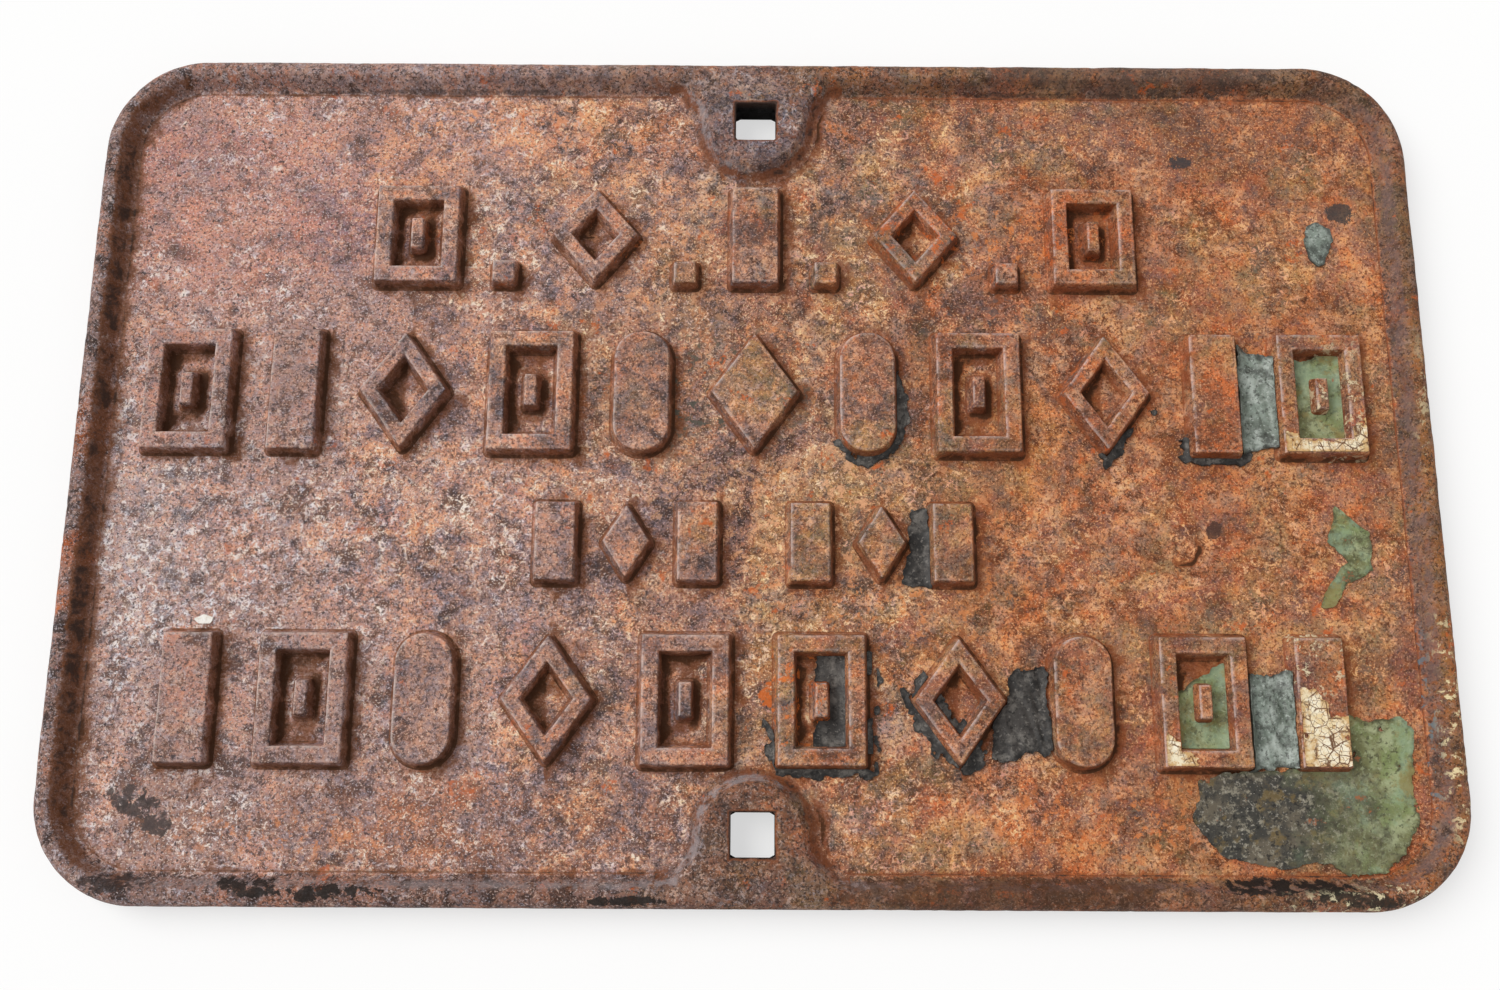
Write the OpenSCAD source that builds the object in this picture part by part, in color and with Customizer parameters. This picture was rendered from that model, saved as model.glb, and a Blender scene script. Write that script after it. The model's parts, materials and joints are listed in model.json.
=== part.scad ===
// Cast iron railway sign: a flat field plate inside a raised half-round rim, a bolt boss
// with a square hole at the middle of the top and bottom edges, and four rows of raised
// plain blocks. The sign lies on its back: X runs along its width, +Y points to its top
// edge and +Z points out of its face. The origin is the middle of the back. Millimetres.

/* [Plate] */
// Overall width of the sign
sign_w = 660; // [620:5:760]
// Overall height of the sign
sign_h = 420; // [390:5:500]
// Outer radius of the four corners
corner_r = 50; // [30:1:70]
// Thickness of the flat field
plate_t = 10; // [6:0.5:16]

/* [Rim] */
// Width of the rim's bead
rim_w = 13; // [9:0.5:16]
// Height of the rim's crown above the field
rim_h = 9; // [8:0.5:14]

/* [Bolt bosses] */
// Side of each square bolt hole
hole_side = 20.5; // [14:0.5:26]
// Distance from the sign's edge to the middle of a bolt hole
hole_inset = 33; // [30:1:40]
// Half the width of a boss, which is also the radius of its round end
boss_r = 24.5; // [20:0.5:30]
// Radius of the hollow curve where a boss spreads into the rim
boss_flare_r = 20; // [10:1:26]
// How far the flat top of a boss lies below the rim's crown
boss_drop = 0.5; // [0.2:0.1:1.5]

/* [Raised blocks] */
// Height of the blocks above the field
relief_h = 8; // [5:0.5:10]
// How far a block's side leans in from its foot to its face
draft = 1.8; // [0.5:0.1:2.4]
// Width of a framed panel
panel_w = 44; // [38:0.5:50]
// Width of a panel's frame at its foot
panel_frame = 11; // [8:0.5:12]
// Width of the small bar inside a panel
bar_w = 9; // [6:0.5:10]
// Height of the small bar inside a panel
bar_h = 19; // [12:0.5:24]
// Width of a plain slab
slab_w = 26; // [18:0.5:34]
// Width of an oval
oval_w = 30; // [22:0.5:38]
// Width of a lozenge
lozenge_w = 46; // [38:0.5:52]
// Thickness of an open lozenge's sides at their foot
lozenge_frame = 10; // [7:0.5:12]
// Side of a square stop
stop_side = 14; // [8:0.5:18]
// Width of a slab in the third row
small_slab_w = 22; // [14:0.5:26]
// Width of a lozenge in the third row
small_lozenge_w = 26; // [20:0.5:32]

/* [Rows] */
// Height of the blocks in the first row
row_1_h = 54; // [50:0.5:60]
// Height of the blocks in the second row
row_2_h = 63.5; // [56:0.5:70]
// Height of the blocks in the third row
row_3_h = 41; // [32:0.5:50]
// Height of the blocks in the fourth row
row_4_h = 63.5; // [56:0.5:70]
// Space between the top boss and the first row
top_space = 10; // [4:0.5:16]
// Space between the fourth row and the bottom boss
bottom_space = 5; // [3:0.5:12]
// Space between neighbours in the first row
row_1_gap = 15; // [6:0.5:20]
// Space between the second row and the rim at each end
row_2_margin = 18; // [8:0.5:30]
// Space between neighbours in the third row
row_3_gap = 10; // [5:0.5:16]
// Extra space in the middle of the third row
row_3_break = 12; // [4:0.5:30]
// Space between the fourth row and the rim at each end
row_4_margin = 39; // [20:0.5:50]

/* [Hidden] */
$fn = 96;

// How far a cutting shape runs past the faces that it cuts
overcut = 1;
// Half of the boss's reach along the rim
boss_half = boss_r + boss_flare_r;
// Width of the field between the rim's inner edges
field_w = sign_w - 2 * rim_w;
// Middle of a corner's arc
corner_x = sign_w / 2 - corner_r;
corner_y = sign_h / 2 - corner_r;
// Middle of the top bolt hole
hole_y = sign_h / 2 - hole_inset;
// Tip of the top boss
boss_tip_y = hole_y - boss_r;

// Blocks of each row from left to right
row_1 = ["panel", "stop", "open_lozenge", "stop", "slab", "stop", "open_lozenge", "stop", "panel"];
row_2 = ["panel", "slab", "open_lozenge", "panel", "oval", "lozenge",
         "oval", "panel", "open_lozenge", "slab", "panel"];
row_3 = ["small_slab", "small_lozenge", "small_slab", "break", "small_slab", "small_lozenge", "small_slab"];
row_4 = ["slab", "panel", "oval", "open_lozenge", "panel", "panel", "open_lozenge", "oval", "panel", "slab"];

// Width of one block of a kind
function width_of(kind) =
    kind == "panel" ? panel_w :
    kind == "slab" ? slab_w :
    kind == "oval" ? oval_w :
    kind == "stop" ? stop_side :
    kind == "small_slab" ? small_slab_w :
    kind == "small_lozenge" ? small_lozenge_w :
    kind == "break" ? row_3_break :
    lozenge_w;

// Width of the first n blocks of a row, without the gaps
function width_to(row, n) = n == 0 ? 0 : width_of(row[n - 1]) + width_to(row, n - 1);

// Gap that spreads a row evenly between margins at both ends of the field
function spread_gap(row, margin) =
    (field_w - 2 * margin - width_to(row, len(row))) / (len(row) - 1);

// Middle of block i in a row that is centred on the sign
function block_x(row, gap, i) =
    width_to(row, i) + i * gap + width_of(row[i]) / 2
    - (width_to(row, len(row)) + (len(row) - 1) * gap) / 2;

row_2_gap = spread_gap(row_2, row_2_margin);
row_4_gap = spread_gap(row_4, row_4_margin);

// The rows share out the height between the bosses, with equal spaces between them
rows_top = boss_tip_y - top_space;
rows_bottom = -boss_tip_y + bottom_space;
row_space = (rows_top - rows_bottom - row_1_h - row_2_h - row_3_h - row_4_h) / 3;
row_1_y = rows_top - row_1_h / 2;
row_2_y = row_1_y - row_1_h / 2 - row_space - row_2_h / 2;
row_3_y = row_2_y - row_2_h / 2 - row_space - row_3_h / 2;
row_4_y = row_3_y - row_3_h / 2 - row_space - row_4_h / 2;

iron = [0.47, 0.33, 0.26];
bead_iron = [0.40, 0.29, 0.25];
face_iron = [0.52, 0.35, 0.25];

// Draws its children at each block of one kind in a row
module each_block(row, gap, y, kind)
    for (i = [0 : len(row) - 1])
        if (row[i] == kind)
            translate([block_x(row, gap, i), y, plate_t])
                children();

// Long bar along Y whose sides lean in by lean over the relief's height, from z = low to z = high
module wedge(width, reach, lean, low = 0, high = relief_h) {
    low_x = width / 2 - lean * low / relief_h;
    high_x = width / 2 - lean * high / relief_h;
    rotate([90, 0, 0])
        linear_extrude(reach, center = true)
            polygon([[-low_x, low], [low_x, low], [high_x, high], [-high_x, high]]);
}

// Oblong block w by h at its foot
module oblong(w, h, lean = draft, low = 0, high = relief_h)
    intersection() {
        wedge(w, 2 * h, lean, low, high);
        rotate(90)
            wedge(h, 2 * w, lean, low, high);
    }

// Upright lozenge block w by h at its foot, thinned by inset on every side
module lozenge(w, h, inset = 0, lean = draft, low = 0, high = relief_h) {
    across = w * h / norm([w, h]) - 2 * inset;
    turn = atan2(w, h);
    intersection() {
        rotate(turn)
            wedge(across, 2 * h, lean, low, high);
        rotate(-turn)
            wedge(across, 2 * h, lean, low, high);
    }
}

// Oblong frame whose window opens outwards
module panel_frame_block(h)
    difference() {
        oblong(panel_w, h);
        oblong(panel_w - 2 * panel_frame, h - 2 * panel_frame, -draft, -overcut, relief_h + overcut);
    }

// Lozenge with a lozenge window
module open_lozenge_block(h)
    difference() {
        lozenge(lozenge_w, h);
        lozenge(lozenge_w, h, lozenge_frame, -draft, -overcut, relief_h + overcut);
    }

// Upright block with round ends
module oval_block(h)
    hull()
        for (side = [-1, 1])
            translate([0, side * (h - oval_w) / 2, 0])
                cylinder(h = relief_h, r1 = oval_w / 2, r2 = oval_w / 2 - draft, $fn = 32);

// Section of the rim: a half-round crown on a low upright foot, outer edge at x = 0
module rim_section()
    intersection() {
        translate([-rim_w, 0])
            square([rim_w, rim_h]);
        union() {
            translate([-rim_w / 2, rim_h - rim_w / 2])
                circle(d = rim_w);
            translate([-rim_w, 0])
                square([rim_w, rim_h - rim_w / 2]);
        }
    }

// Straight bead along X, outer edge at y = 0
module bead(length)
    rotate([90, 0, 90])
        linear_extrude(length, center = true)
            rim_section();

// Half of the top or bottom edge between a boss and a corner, on the side that side names
module half_edge(side) {
    length = corner_x - boss_half;
    translate([side * (boss_half + length / 2), sign_h / 2, plate_t])
        bead(length);
}

// Bead along the right end
module end_edge()
    translate([sign_w / 2, 0, plate_t])
        rotate(-90)
            bead(2 * corner_y);

// Quarter bend of the bead at the top right corner
module corner_bend()
    translate([corner_x, corner_y, plate_t])
        rotate_extrude(angle = 90)
            translate([corner_r, 0])
                rim_section();

// Plan of a boss's flat top, with the sign's edge at y = 0
module boss_plan() {
    crown_y = -rim_w / 2;
    translate([0, -hole_inset])
        circle(r = boss_r);
    translate([-boss_r, -hole_inset])
        square([2 * boss_r, hole_inset + crown_y]);
    difference() {
        translate([-boss_half, crown_y - boss_flare_r])
            square([2 * boss_half, boss_flare_r]);
        for (side = [-1, 1])
            translate([side * boss_half, crown_y - boss_flare_r])
                circle(r = boss_flare_r);
    }
}

// Boss at the top edge with its own stretch of bead
module boss()
    translate([0, sign_h / 2, plate_t])
        difference() {
            union() {
                linear_extrude(rim_h - boss_drop)
                    boss_plan();
                bead(2 * boss_half);
            }
            translate([-hole_side / 2, -hole_inset - hole_side / 2, -overcut])
                cube([hole_side, hole_side, rim_h + 2 * overcut]);
        }

// Flat plate with rounded corners and both bolt holes
module field_plate()
    color(iron)
        difference() {
            linear_extrude(plate_t)
                union() {
                    square([sign_w, 2 * corner_y], center = true);
                    square([2 * corner_x, sign_h], center = true);
                    for (x = [-corner_x, corner_x], y = [-corner_y, corner_y])
                        translate([x, y])
                            circle(r = corner_r);
                }
            for (y = [-hole_y, hole_y])
                translate([-hole_side / 2, y - hole_side / 2, -overcut])
                    cube([hole_side, hole_side, plate_t + 2 * overcut]);
        }

module top_boss() color(bead_iron) boss();
module bottom_boss() color(bead_iron) mirror([0, 1, 0]) boss();

module rim_left() color(bead_iron) mirror([1, 0, 0]) end_edge();
module rim_right() color(bead_iron) end_edge();
module rim_top_left() color(bead_iron) half_edge(-1);
module rim_top_right() color(bead_iron) half_edge(1);
module rim_bottom_left() color(bead_iron) mirror([0, 1, 0]) half_edge(-1);
module rim_bottom_right() color(bead_iron) mirror([0, 1, 0]) half_edge(1);

module rim_corner_top_left() color(bead_iron) mirror([1, 0, 0]) corner_bend();
module rim_corner_top_right() color(bead_iron) corner_bend();
module rim_corner_bottom_left() color(bead_iron) rotate(180) corner_bend();
module rim_corner_bottom_right() color(bead_iron) mirror([0, 1, 0]) corner_bend();

module row_1_panels() color(face_iron) each_block(row_1, row_1_gap, row_1_y, "panel") panel_frame_block(row_1_h);
module row_1_bars() color(face_iron) each_block(row_1, row_1_gap, row_1_y, "panel") oblong(bar_w, bar_h);
module row_1_open_lozenges()
    color(face_iron)
        each_block(row_1, row_1_gap, row_1_y, "open_lozenge")
            open_lozenge_block(row_1_h);
module row_1_slab() color(face_iron) each_block(row_1, row_1_gap, row_1_y, "slab") oblong(slab_w, row_1_h);
module row_1_stops()
    color(face_iron)
        each_block(row_1, row_1_gap, row_1_y - row_1_h / 2 + stop_side / 2, "stop")
            oblong(stop_side, stop_side);

module row_2_panels() color(face_iron) each_block(row_2, row_2_gap, row_2_y, "panel") panel_frame_block(row_2_h);
module row_2_bars() color(face_iron) each_block(row_2, row_2_gap, row_2_y, "panel") oblong(bar_w, bar_h);
module row_2_slabs() color(face_iron) each_block(row_2, row_2_gap, row_2_y, "slab") oblong(slab_w, row_2_h);
module row_2_open_lozenges()
    color(face_iron)
        each_block(row_2, row_2_gap, row_2_y, "open_lozenge")
            open_lozenge_block(row_2_h);
module row_2_ovals() color(face_iron) each_block(row_2, row_2_gap, row_2_y, "oval") oval_block(row_2_h);
module row_2_lozenge() color(face_iron) each_block(row_2, row_2_gap, row_2_y, "lozenge") lozenge(lozenge_w, row_2_h);

module row_3_slabs()
    color(face_iron)
        each_block(row_3, row_3_gap, row_3_y, "small_slab")
            oblong(small_slab_w, row_3_h);
module row_3_lozenges()
    color(face_iron)
        each_block(row_3, row_3_gap, row_3_y, "small_lozenge")
            lozenge(small_lozenge_w, row_3_h);

module row_4_panels() color(face_iron) each_block(row_4, row_4_gap, row_4_y, "panel") panel_frame_block(row_4_h);
module row_4_bars() color(face_iron) each_block(row_4, row_4_gap, row_4_y, "panel") oblong(bar_w, bar_h);
module row_4_slabs() color(face_iron) each_block(row_4, row_4_gap, row_4_y, "slab") oblong(slab_w, row_4_h);
module row_4_ovals() color(face_iron) each_block(row_4, row_4_gap, row_4_y, "oval") oval_block(row_4_h);
module row_4_open_lozenges()
    color(face_iron)
        each_block(row_4, row_4_gap, row_4_y, "open_lozenge")
            open_lozenge_block(row_4_h);

field_plate();
top_boss();
bottom_boss();
rim_left();
rim_right();
rim_top_left();
rim_top_right();
rim_bottom_left();
rim_bottom_right();
rim_corner_top_left();
rim_corner_top_right();
rim_corner_bottom_left();
rim_corner_bottom_right();
row_1_panels();
row_1_bars();
row_1_open_lozenges();
row_1_slab();
row_1_stops();
row_2_panels();
row_2_bars();
row_2_slabs();
row_2_open_lozenges();
row_2_ovals();
row_2_lozenge();
row_3_slabs();
row_3_lozenges();
row_4_panels();
row_4_bars();
row_4_slabs();
row_4_ovals();
row_4_open_lozenges();
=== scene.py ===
# %% [markdown]
# # A rusted cast iron railway sign
# The real sign is one sand casting: a flat field, a half-round rim, two bolt bosses and rows of
# raised blocks. A century outdoors has left brown rust over all of it and a few scraps of paint in
# the corners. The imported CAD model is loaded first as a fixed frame, and every cast piece made below
# takes its place and size from that frame.

import json
import math

import bmesh
import bpy
import numpy as np
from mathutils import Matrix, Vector, noise


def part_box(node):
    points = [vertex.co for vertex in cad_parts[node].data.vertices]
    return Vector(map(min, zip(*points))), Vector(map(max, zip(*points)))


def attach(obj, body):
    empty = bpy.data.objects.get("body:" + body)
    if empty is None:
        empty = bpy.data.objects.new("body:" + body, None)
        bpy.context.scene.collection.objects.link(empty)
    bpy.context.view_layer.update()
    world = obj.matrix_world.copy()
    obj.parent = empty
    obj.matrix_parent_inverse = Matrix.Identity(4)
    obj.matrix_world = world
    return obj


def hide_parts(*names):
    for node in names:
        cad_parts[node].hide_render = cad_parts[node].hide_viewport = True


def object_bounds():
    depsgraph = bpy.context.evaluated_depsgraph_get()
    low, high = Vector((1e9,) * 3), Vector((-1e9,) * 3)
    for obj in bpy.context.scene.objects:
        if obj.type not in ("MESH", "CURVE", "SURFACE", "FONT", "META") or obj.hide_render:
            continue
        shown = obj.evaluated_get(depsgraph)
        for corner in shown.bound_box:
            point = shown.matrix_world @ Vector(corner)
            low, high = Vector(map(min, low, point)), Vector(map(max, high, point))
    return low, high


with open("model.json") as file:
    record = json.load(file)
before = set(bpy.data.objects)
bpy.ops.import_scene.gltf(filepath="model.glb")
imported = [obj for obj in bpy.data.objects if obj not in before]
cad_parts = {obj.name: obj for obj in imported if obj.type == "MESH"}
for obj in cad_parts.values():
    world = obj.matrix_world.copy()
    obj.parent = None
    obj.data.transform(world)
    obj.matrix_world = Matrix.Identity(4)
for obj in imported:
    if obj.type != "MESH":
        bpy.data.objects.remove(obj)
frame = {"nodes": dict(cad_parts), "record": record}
cad_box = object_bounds()
MM = 0.001
print("nodes", len(frame["nodes"]), "box", [tuple(round(c, 4) for c in corner) for corner in cad_box])

# %% [markdown]
# The driving sizes are read off the frame, so the looks follow the construction: the level of the
# field, the crown of the rim, the radius of the corners and the bolt holes.

# %% Sizes from the frame
plate_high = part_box("field_plate")[1]
HALF_W = plate_high.x
HALF_H = plate_high.y
FIELD_Z = plate_high.z
rim_low, rim_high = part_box("rim_right")
CROWN_Z = rim_high.z
RIM_W = rim_high.x - rim_low.x
CORNER_R = HALF_H - rim_high.y
boss_low, boss_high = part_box("top_boss")
BOSS_HALF = boss_high.x
HOLE_Y = next(m["pos_m"][1] for m in frame["record"]["mounts"] if m["name"] == "top_bolt_hole")
HOLE_HALF = min(abs(v.co.x) for v in frame["nodes"]["field_plate"].data.vertices)
BOSS_R = HOLE_Y - boss_low.y
FLARE_R = BOSS_HALF - BOSS_R
print("field at", round(FIELD_Z / MM, 1), "crown at", round(CROWN_Z / MM, 1), "mm")
print("corner", round(CORNER_R / MM, 1), "boss", round(BOSS_R / MM, 1), "mm")
print("hole", round(2 * HOLE_HALF / MM, 1), "mm")

# %% [markdown]
# The photograph looks down on the sign from a little below its middle. A camera is a place, a turn
# and a lens. The lens is written as a focal length in pixels of a 1500 pixel wide picture, because
# that is how a photograph is measured, and is turned into millimetres of a 36 mm sensor.

# %% Camera
PICTURE_W = 1500
FOCAL_PX = 1470
SENSOR_W = 36
EYE_MM = (-3.1, -178, 704)
EYE_TURN = (13.1, -0.16, 0.29)
camera_data = bpy.data.cameras.new("camera")
camera_data.sensor_width = SENSOR_W
camera_data.lens = SENSOR_W * FOCAL_PX / PICTURE_W
camera = bpy.data.objects.new("camera", camera_data)
camera.location = [c * MM for c in EYE_MM]
camera.rotation_euler = [math.radians(a) for a in EYE_TURN]
bpy.context.scene.collection.objects.link(camera)
bpy.context.scene.camera = camera
print("lens", round(camera_data.lens, 2), "mm")

# %% [markdown]
# One helper adds a shader node: its settings, and its inputs as values or as links from another
# node. Colours are written as sRGB hex, as a paint card or a colour picker gives them, and one
# function turns them into the linear numbers that light is reckoned in.


# %% Node and colour helpers
def add(tree, kind, inputs=None, **settings):
    """Adds a shader node with its settings, and with its inputs as values or links."""
    made = tree.nodes.new(kind)
    for key, value in settings.items():
        setattr(made, key, value)
    for key, value in (inputs or {}).items():
        if isinstance(value, bpy.types.NodeSocket):
            tree.links.new(value, made.inputs[key])
        else:
            made.inputs[key].default_value = value
    return made


def linear(hex_colour):
    """Linear red, green, blue and alpha of an sRGB hex colour."""
    parts = [int(hex_colour[i:i + 2], 16) / 255 for i in (1, 3, 5)]
    return (*(c / 12.92 if c <= 0.04045 else ((c + 0.055) / 1.055) ** 2.4 for c in parts), 1.0)


print("white is", linear("#ffffff"))

# %% [markdown]
# The studio: a white floor, an even white sky and one soft, far light up on the left, as a large
# window gives. A sun lamp with a wide angle lights every part of the sign alike. The camera sees the
# sky as plain white. The floor is a real white surface, so the sign's own soft shadow stays on it. To
# the camera it also glows, which keeps the floor away from the sign about as white as the sky.

# %% Floor, sky and lamp
WHITE = linear("#ffffff")
SKY_LIGHT = 0.5
FLOOR_GLOW = 0.6
FLOOR_REACH = 40.0
FLOOR_DROP = 0.4 * MM
LAMP_STRENGTH = 2.25
LAMP_SPREAD = 44
LAMP_COLOUR = (1.0, 0.99, 0.97)
LAMP_FROM = Vector((-0.92, 0.42, 1.1))

world = bpy.data.worlds.new("white_room")
bpy.context.scene.world = world
world.use_nodes = True
sky = world.node_tree
sky.nodes.clear()
rays = add(sky, "ShaderNodeLightPath")
room = add(sky, "ShaderNodeBackground", {"Color": WHITE, "Strength": SKY_LIGHT})
seen = add(sky, "ShaderNodeBackground", {"Color": WHITE, "Strength": 1.0})
either = add(sky, "ShaderNodeMixShader", {
    0: rays.outputs["Is Camera Ray"], 1: room.outputs[0], 2: seen.outputs[0]})
add(sky, "ShaderNodeOutputWorld", {"Surface": either.outputs[0]})

floor_material = bpy.data.materials.new("white_painted_floor")
floor_material.use_nodes = True
paint = floor_material.node_tree
paint.nodes.clear()
rays = add(paint, "ShaderNodeLightPath")
glow = add(paint, "ShaderNodeMapRange", {"Value": rays.outputs["Is Camera Ray"], "To Max": FLOOR_GLOW})
matt = add(paint, "ShaderNodeBsdfDiffuse", {"Color": linear("#fafafa")})
white = add(paint, "ShaderNodeEmission", {"Color": WHITE, "Strength": 1.0})
both = add(paint, "ShaderNodeMixShader", {0: glow.outputs[0], 1: matt.outputs[0], 2: white.outputs[0]})
add(paint, "ShaderNodeOutputMaterial", {"Surface": both.outputs[0]})

floor_mesh = bpy.data.meshes.new("floor")
corners = [(x * FLOOR_REACH, y * FLOOR_REACH, 0) for x, y in ((-1, -1), (1, -1), (1, 1), (-1, 1))]
floor_mesh.from_pydata(corners, [], [(0, 1, 2, 3)])
floor_mesh.materials.append(floor_material)
floor = bpy.data.objects.new("floor", floor_mesh)
floor.location.z = -FLOOR_DROP
bpy.context.scene.collection.objects.link(floor)

lamp_data = bpy.data.lights.new("window_light", "SUN")
lamp_data.energy = LAMP_STRENGTH
lamp_data.angle = math.radians(LAMP_SPREAD)
lamp_data.color = LAMP_COLOUR
lamp = bpy.data.objects.new("window_light", lamp_data)
lamp.rotation_euler = LAMP_FROM.to_track_quat("Z", "Y").to_euler()
bpy.context.scene.collection.objects.link(lamp)
bpy.context.scene.view_settings.view_transform = "Standard"
print("lamp", lamp_data.energy, "sky", SKY_LIGHT)

# %% [markdown]
# Every raised block on the frame is one of two outlines with rounded corners: an upright oblong or
# a lozenge, solid or with a window of the same outline. The list is read from the frame's own
# meshes, one entry for each separate solid.


# %% Read the blocks from the frame
SAME_PLACE = 0.01 * MM
SAME_LEVEL = 0.1 * MM
LEAST_WALL = 1 * MM
BLOCK_ROUND = 2.2 * MM
OVAL_FLAT = 0.2 * MM


def islands(mesh):
    """Vertices of each separate solid of a mesh, as arrays of points."""
    bm = bmesh.new()
    bm.from_mesh(mesh)
    bmesh.ops.remove_doubles(bm, verts=bm.verts, dist=SAME_PLACE)
    left = set(bm.verts)
    while left:
        first = min(left, key=lambda v: v.index)
        group = {first}
        front = [first]
        while front:
            here = front.pop()
            for edge in here.link_edges:
                there = edge.other_vert(here)
                if there not in group:
                    group.add(there)
                    front.append(there)
        left -= group
        yield np.array([v.co for v in group])
    bm.free()


def read_block(node, points):
    """Outline, place and lean of one block, in metres."""
    low = points.min(0)
    high = points.max(0)
    middle = (low + high) / 2
    foot = points[points[:, 2] < low[2] + SAME_LEVEL]
    face = points[points[:, 2] > high[2] - SAME_LEVEL]
    half_w, half_h = (high - low)[:2] / 2
    inner = np.abs(foot[:, 0] - middle[0])
    inner = inner[inner > SAME_LEVEL].min()
    lozenge = "lozenge" in node
    across = half_w * half_h / math.hypot(half_w, half_h) if lozenge else half_w
    wall = (half_w - inner) * across / half_w
    return {
        "node": node,
        "lozenge": lozenge,
        "x": middle[0],
        "y": middle[1],
        "half_w": half_w,
        "half_h": half_h,
        "across": across,
        "wall": wall if wall > LEAST_WALL and "oval" not in node else None,
        "lean": (half_w - np.abs(face[:, 0] - middle[0]).max()) * across / half_w,
        "round": half_w - OVAL_FLAT if "oval" in node else BLOCK_ROUND,
        "height": high[2] - low[2],
    }


BLOCK_NODES = sorted(n for n in frame["nodes"] if n.startswith("row_"))
blocks = [read_block(n, p) for n in BLOCK_NODES for p in islands(frame["nodes"][n].data)]
print(len(blocks), "blocks on", len(BLOCK_NODES), "nodes")

# %% [markdown]
# Sand casting leaves a skin that is never quite flat, and rust then swells and pits it. That skin
# is one function of place, so neighbouring pieces share it and meet without a step. The larger
# swells are modelled in the mesh. The finest grit is left to bump in the material. Each piece also
# carries marks for its material: how much dirt and painted shade a place gets, and how far its edge
# is rubbed bare and given a painted highlight. Sides that turn away from the light get more painted
# shade, and edges that face it get a painted highlight.


# %% The cast skin
SWELL_H, SWELL_W = 0.22 * MM, 26 * MM
SCALE_H, SCALE_W = 0.13 * MM, 6 * MM
PIT_H, PIT_W = 0.5 * MM, 4.5 * MM
BACK_EDGE = 0.5 * MM


def cast_skin(point):
    """Height of the rusted skin over the true surface, in metres."""
    swell = SWELL_H * noise.fractal(point / SWELL_W, 1.0, 2.0, 2)
    scale = SCALE_H * noise.fractal(point / SCALE_W, 0.8, 2.1, 3)
    pit = max(0.0, noise.noise(point / PIT_W) - 0.3)
    return swell + scale - PIT_H * pit


JOINTS = ((0, BOSS_HALF), (0, HALF_W - CORNER_R), (1, HALF_H - CORNER_R))
ON_JOINT = 0.001 * MM


def skin_normals(mesh):
    """Vertex normals without the flat ends where two stretches meet, so that their skins meet too."""
    places = np.array([v.co for v in mesh.vertices])
    corners = np.array([loop.vertex_index for loop in mesh.loops])
    starts = np.array([face.loop_start for face in mesh.polygons])
    totals = np.array([face.loop_total for face in mesh.polygons])
    weights = np.array([face.area for face in mesh.polygons])
    for axis, at in JOINTS:
        on_joint = np.abs(np.abs(places[:, axis]) - at) < ON_JOINT
        weights[np.add.reduceat(on_joint[corners].astype(int), starts) == totals] = 0
    pull = np.array([face.normal for face in mesh.polygons]) * weights[:, None]
    normals = np.zeros_like(places)
    np.add.at(normals, corners, np.repeat(pull, totals, axis=0))
    return [Vector(n).normalized() for n in normals]


def roughen(mesh, amount=1.0):
    """Moves each vertex along its normal by the skin, and keeps the mesh inside the frame's box."""
    low, high = cad_box
    for vertex, normal in zip(mesh.vertices, skin_normals(mesh)):
        if vertex.co.z < BACK_EDGE:
            continue
        place = vertex.co + normal * (amount * cast_skin(vertex.co))
        vertex.co = [min(max(c, a), b) for c, a, b in zip(place, low, high)]


SHADED = Vector((0.86, -0.5, 0.0))
SHARP = math.radians(62)
FILLED = 1.5


def make_piece(name, points, faces, material, replaced=(), marks=None, rough=1.0, sided=True):
    """A closed, smooth piece that rides on the sign."""
    mesh = bpy.data.meshes.new(name)
    mesh.from_pydata(np.clip(points, *cad_box).tolist(), [], faces)
    bm = bmesh.new()
    bm.from_mesh(mesh)
    bmesh.ops.recalc_face_normals(bm, faces=bm.faces)
    for face in bm.faces:
        face.smooth = True
    for edge in bm.edges:
        if len(edge.link_faces) == 2 and edge.calc_face_angle() > SHARP:
            edge.smooth = False
    bm.to_mesh(mesh)
    bm.free()
    marks = dict(marks or {})
    # Painted shade and highlight: the crevice mark grows on sides that face away from the light, and the
    # edge mark on sides that face it.
    if "crevice" in marks:
        facing = np.array([n.vector.dot(SHADED) for n in mesh.vertex_normals])
        dirt_and_shade = np.asarray(marks["crevice"], float)
        if sided:
            marks["crevice"] = np.where(dirt_and_shade > FILLED, dirt_and_shade, dirt_and_shade * np.clip(0.78 + 0.6 * facing, 0.42, 1.1))
        marks["edge"] = np.asarray(marks["edge"], float) * np.clip(0.5 - 0.7 * facing, 0.2, 1.0)
    if rough:
        roughen(mesh, rough)
    for mark, values in marks.items():
        layer = mesh.attributes.new(mark, "FLOAT", "POINT")
        layer.data.foreach_set("value", np.asarray(values, np.float32))
    mesh.materials.append(material)
    piece = bpy.data.objects.new(name, mesh)
    bpy.context.scene.collection.objects.link(piece)
    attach(piece, "root")
    if replaced:
        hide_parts(*replaced)
    return piece


print("skin at the middle", round(cast_skin(Vector((0, 0, FIELD_Z))) / MM, 3), "mm")

# %% [markdown]
# A weathered finish is easiest to think of as coats: a colour underneath, then other colours that
# show in places. Where a coat shows is a mask: noise of a real grain size, cut between two levels and
# scaled by an amount. The amount may be another mask, so fine flecks can gather in clouds. The sizes
# follow the photograph: clouds of rust are 20 to 75 mm across, scales of it 10 to 20 mm and flecks 2
# to 6 mm. Real rust grit is a few tenths of a millimetre. It is drawn at 1 mm or more, because
# anything finer is lost in the picture. Dried oil paint bends light about as much as glass does, and
# so does an open crust of rust with its air and dirt, so every finish has an IOR of 1.5 and no metal.


# %% Finishes in coats
IOR = 1.5


def grain(size_mm, detail=5.0, rough=0.66, bend=0.0):
    """Settings of a noise whose patches are of a real size."""
    return {"Scale": 1 / (size_mm * MM), "Detail": detail, "Roughness": rough, "Distortion": bend}


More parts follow.
